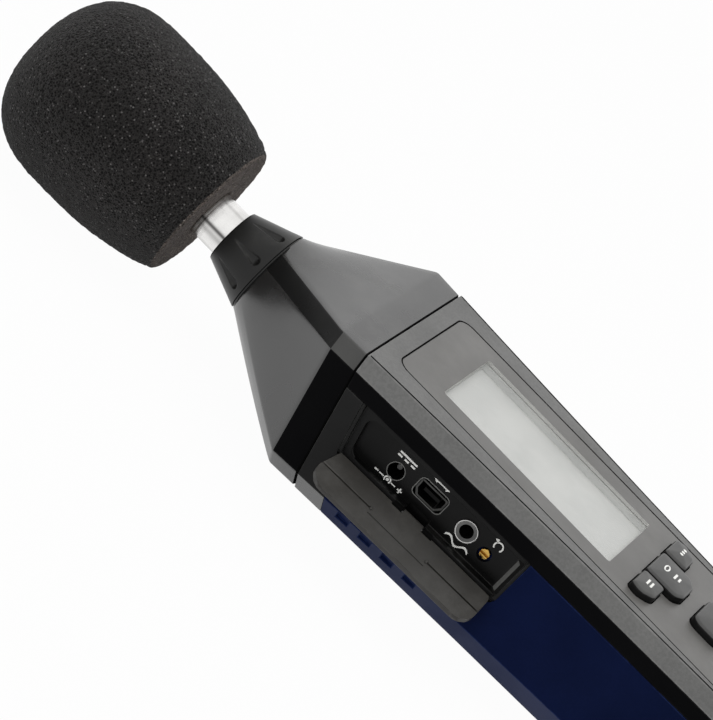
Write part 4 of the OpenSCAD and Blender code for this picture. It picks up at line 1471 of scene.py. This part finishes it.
@dataclass
class PortRecess(SubAssembly):
    """Recess in the left side: sockets, adjuster, marks and the hinged flap."""

    mid: float = 40.5
    half_len: float = 26.0
    floor: float = 4.5
    seat: float = 1.9
    step: float = 0.3
    ramp_end: float = -24.2
    ramp_way: float = 0.3  # faces of the ramp look along Y more than this
    front_way: float = 0.5  # faces of the data socket's front look out more than this
    ring_way: Pair = (0.95, 0.9)  # the same for the ring and for its jack
    ear_reach: float = 6.4
    ear_top: float = 17.8
    mark_rise: float = 0.04
    rim_rise: float = 0.08
    data_at: Pair = (0.9, 22.7)
    data_rims: tuple[Triple, ...] = ((4.32, 2.52, 1.2), (4.56, 2.76, 1.44))
    supply_at: Pair = (10.8, 21.1)
    supply_rims: Pair = (2.17, 2.37)
    bar_z: Pair = (17.2, 26.6)
    bar_sides: tuple[Pair, ...] = ((3.05, -25.25), (4.35, -24.35))  # depth and place along
    bar_way: Pair = (-0.57, 0.82)  # inward and along
    bar_rise: float = 0.03

    def build(self) -> None:
        """Builds and dresses every piece in order."""
        outward = -self.axes()[0]
        bezel = self.show("port_bezel", "port_black", (0.22, 30, 1.2))
        middle = face_centres(bezel)
        deep, along = self.local(middle)
        rim = deep < self.seat + self.step
        ears = (np.abs(along) < self.ear_reach) & (middle[:, 2] < self.ear_top)
        ramp = (along < self.ramp_end) & (deep > self.step)
        ramp &= face_ways(bezel)[:, 1] > self.ramp_way
        self.paint(bezel, case_dark=rim & ~ears | ramp, groove_black=rim & ears)
        self.show("port_flap", "flap_grey", (0.25, 60, 3.0), "flap")
        shell = self.show("usb_shell", "socket_black", (0.08, 30, 0.4))
        self.paint(shell, dark_steel=face_ways(shell) @ outward > self.front_way)
        ring = self.show("output_ring", "steel", (0.12, 30, 0.2))
        self.paint(ring, dull_steel=face_ways(ring) @ outward > self.ring_way[0])
        self.show("trimmer_screw", "brass", (0.08, 30, 0.3), "trimmer")
        jack = self.show("output_jack", "socket_black")
        above = self.local(face_centres(jack))[0] < self.floor
        self.paint(jack, dull_steel=(face_ways(jack) @ outward > self.ring_way[1]) & above)
        for node, finish in (("supply_jack", "socket_black"), ("usb_tongue", "socket_black"),
                             ("trimmer_body", "trimmer_blue"), ("supply_pin", "dull_steel"),
                             ("flap_pin", "dull_steel")):
            self.show(node, finish)
        for number, mark in enumerate(self.marks()):
            strip = put_strip(f"port_mark_{number}", self.place(mark), outward * self.mark_rise)
            self.add_on(strip, "print_white")
        for name, rows in self.rims().items():
            strip = put_strip(name, self.place(rows), outward * self.rim_rise)
            self.add_on(strip, "rim_grey")
        # A pale strip on the ramp, as a painted highlight.
        self.add_on(self.tail_bar(), "rim_grey")

    def axes(self) -> tuple[Array, Array]:
        """Directions into the recess and along its wall, which leans as the case tapers there.

        Returns:
            Two vectors of length 1.
        """
        near, far = (self.case.half_width(self.mid + by) for by in (-self.half_len, self.half_len))
        angle = math.atan((far - near) / (2 * self.half_len))
        c, s = math.cos(angle), math.sin(angle)
        return np.array([c, s, 0.0]), np.array([-s, c, 0.0])

    def origin(self) -> Array:
        """Middle of the recess on the wall, at height zero."""
        return np.array([-self.case.half_width(self.mid), self.mid, 0.0])

    def place(self, flat: Array) -> Array:
        """Puts points (along the wall, height) on the recess floor.

        Args:
            flat: Rows of two-number points.

        Returns:
            The same points in the part's frame.
        """
        inward, along = self.axes()
        up = np.array([0.0, 0.0, 1.0])
        return self.origin() + inward * self.floor + flat[..., :1] * along + flat[..., 1:] * up

    def local(self, points: Array) -> tuple[Array, Array]:
        """Depth below the wall and place along the wall of points in the part's frame."""
        inward, along = self.axes()
        return (points - self.origin()) @ inward, (points - self.origin()) @ along

    def rims(self) -> dict[str, Array]:
        """Low rims round the data and supply openings.

        Returns:
            Two rows of (along the wall, height) for each rim, by name.
        """
        data = loops([rounded_box(w, -h, h, r) for w, h, r in self.data_rims])
        circle = round_points(np.linspace(0, TURN, 65))
        supply = np.stack([circle * r for r in self.supply_rims])
        return {"data_rim": data + self.data_at, "supply_rim": supply + self.supply_at}

    def tail_bar(self) -> Piece:
        """Painted highlight on the lower half of the ramp at the tail end: a flat, pale strip
        between two lines.

        Returns:
            The piece.
        """
        inward, along = self.axes()
        z = np.linspace(*self.bar_z, 12)
        rows = [self.place(np.stack([np.full_like(z, y), z], 1)) + inward * (x - self.floor)
                for x, y in self.bar_sides]
        way = inward * self.bar_way[0] + along * self.bar_way[1]
        return put_strip("tail_bar", np.stack(rows), way * self.bar_rise)

    @staticmethod
    def marks() -> list[Array]:
        """Strips of the plain signs beside the sockets, as two rows of (along the wall, height).

        Returns:
            The strips of the polarity, direct-current, data, signal and adjusting signs.
        """
        count, z = 33, 18.0
        a = np.linspace(0, TURN, count)
        arc = round_points(a[:25] - 0.9)
        wave = np.stack([-11.1 + 3.6 * (a / np.pi - 1), 18.4 + 0.7 * np.sin(1.5 * a)], 1)
        polarity = [bar(14.4, z, 0.6, 0.2), bar(12.8, z, 0.7, 0.15), dot(10.9, z, 0.4, count),
                    np.stack([arc, arc * 0.65]) + [10.9, z], bar(9.1, z, 0.7, 0.15),
                    bar(7.0, z, 0.7, 0.2), bar(7.0, z, 0.2, 0.7)]
        direct = [bar(10.6, 25.7, 2.7, 0.24)]
        direct += [bar(y, 24.8, 0.65, 0.24) for y in (12.65, 10.6, 8.55)]
        data = [bar(0.7, 26.8, 1.5, 0.18), head(2.1, 26.8, 1.0, 0.6), head(-0.7, 26.8, -1.0, 0.6)]
        signal = [np.stack([wave - [0, 0.28], wave + [0, 0.28]])]
        adjust = [np.stack([arc * 1.35, arc * 0.95]) + [-18.8, 25.4], head(-18.0, 26.6, 1.0, 0.7)]
        return polarity + direct + data + signal + adjust


@dataclass
class Inside(SubAssembly):
    """Boards behind the display and the sockets."""

    def build(self) -> None:
        """Dresses the boards."""
        for node in ("main_board", "port_board", "preamp_board"):
            self.show(node, "board_green")


@dataclass
class Studio:
    """Floor, light and camera."""

    right: Triple = (0.3420663, -0.6942043, 0.6333016)
    down: Triple = (-0.2192094, -0.7143148, -0.6646063)
    forward: Triple = (0.9137493, 0.0885138, -0.3965192)
    eye: Triple = (-0.994595, -0.016945, 0.451827)
    lens: float = 225.39
    sensor: float = 36.0
    sight: Pair = (0.05, 20.0)
    aim: Triple = (0.0, 0.05, 0.02)
    floor_half: float = 4.0
    floor_white: float = 0.97
    sky: float = 0.9

    def build(self) -> None:
        """Sets up everything round the meter."""
        self.floor()
        self.world()
        self.lamp("over", (-0.05, 0.1, 1.05), 1.2, 8.0)
        self.lamp("left", (-1.15, 0.15, 0.3), 0.8, 6.5)
        self.camera()
        bpy.context.scene.view_settings.view_transform = "Standard"

    def floor(self) -> None:
        """Lays a pale floor: white to the eye and to reflections, with its shadow kept."""
        low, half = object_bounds()[0].z, self.floor_half
        mesh = bpy.data.meshes.new("floor")
        corners = [(-half, -half, low), (half, -half, low), (half, half, low), (-half, half, low)]
        mesh.from_pydata(corners, [], [(0, 1, 2, 3)])
        made = bpy.data.objects.new("floor", mesh)
        bpy.context.scene.collection.objects.link(made)
        made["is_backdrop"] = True
        material = bpy.data.materials.new("floor_pale")
        material.use_nodes = True
        mesh.materials.append(material)
        tree = Tree(material.node_tree)
        tree.tree.nodes.clear()
        matt = tree.add("BsdfDiffuse", {"Color": (0.5, 0.5, 0.5, 1.0)})
        mask = tree.maths("MULTIPLY", self.seen_directly(tree), self.floor_white)
        self.whiten(tree, mask, matt, "Emission", "OutputMaterial")

    def world(self) -> None:
        """Surrounds the meter with soft light that is bright on its right and dim on its left."""
        world = bpy.data.worlds.new("studio")
        bpy.context.scene.world = world
        world.use_nodes = True
        tree = Tree(world.node_tree)
        tree.tree.nodes.clear()
        way = tree.add("TexCoord")["Generated"]
        split = tree.add("SeparateXYZ", {0: way})
        side = tree.ramp(split["X"], -0.75, 0.5, 0.1, 1.0)
        rise = tree.ramp(split["Z"], 0.0, 0.4, 0.55, 1.0)
        colour = tree.blend(tree.maths("MULTIPLY", side, rise), BLACK, WHITE)
        soft = tree.add("Background", {"Color": colour, "Strength": self.sky})
        mask = self.seen_directly(tree)
        self.whiten(tree, mask, soft, "Background", "OutputWorld")

    @staticmethod
    def seen_directly(tree: Tree) -> Socket:
        """Gives 1 for rays from the eye, from gloss and through glass.

        Args:
            tree: The tree that needs it.

        Returns:
            The mask.
        """
        path = tree.add("LightPath")
        direct = tree.maths("ADD", path["Is Camera Ray"], path["Is Glossy Ray"], clamp=True)
        return tree.maths("ADD", direct, path["Is Transmission Ray"], clamp=True)

    @staticmethod
    def whiten(tree: Tree, mask: Socket, lit: Outputs, glow: str, end: str) -> None:
        """Ends a tree that is white where its mask is 1 and lit elsewhere.

        Args:
            tree: The tree.
            mask: Where it is white.
            lit: Outputs of the node that is lit.
            glow: Type of the node that glows white.
            end: Type of the tree's last node.
        """
        white = tree.add(glow, {"Color": WHITE, "Strength": 1.0})
        mixed = tree.add("MixShader", {0: mask, 1: lit[0], 2: white[0]})
        tree.add(end, {"Surface": mixed[0]})

    def lamp(self, name: str, place: Triple, size: float, power: float) -> None:
        """Hangs a square soft lamp that looks at the middle of the meter.

        Args:
            name: Name of the lamp.
            place: Where it hangs, in metres.
            size: Its side in metres.
            power: Its power in watts.
        """
        light = bpy.data.lights.new(name, "AREA")
        light.energy, light.size = power, size
        made = bpy.data.objects.new(name, light)
        made.location, made.visible_glossy = place, False
        way = Vector(self.aim) - Vector(place)
        made.rotation_euler = way.to_track_quat("-Z", "Y").to_euler()
        bpy.context.scene.collection.objects.link(made)

    def camera(self) -> None:
        """Stands the camera where the photograph was taken from."""
        lens = bpy.data.cameras.new("eye")
        lens.sensor_width, lens.lens = self.sensor, self.lens
        lens.clip_start, lens.clip_end = self.sight
        made = bpy.data.objects.new("eye", lens)
        bpy.context.scene.collection.objects.link(made)
        turn = np.eye(4)
        up, back = -np.array(self.down), -np.array(self.forward)
        turn[:3] = np.stack([self.right, up, back, self.eye], 1)
        made.matrix_world = Matrix(turn.tolist())
        bpy.context.scene.camera = made


def main() -> None:
    """Builds the sub-assemblies in order, then the studio."""
    logging.basicConfig(level=logging.INFO, format="%(message)s")
    finishes = Finishes()
    for part in (CaseShell, Microphone, FacePanel, PortRecess, Inside):
        part(finishes).build()
    Studio().build()


if __name__ == "__main__":
    main()
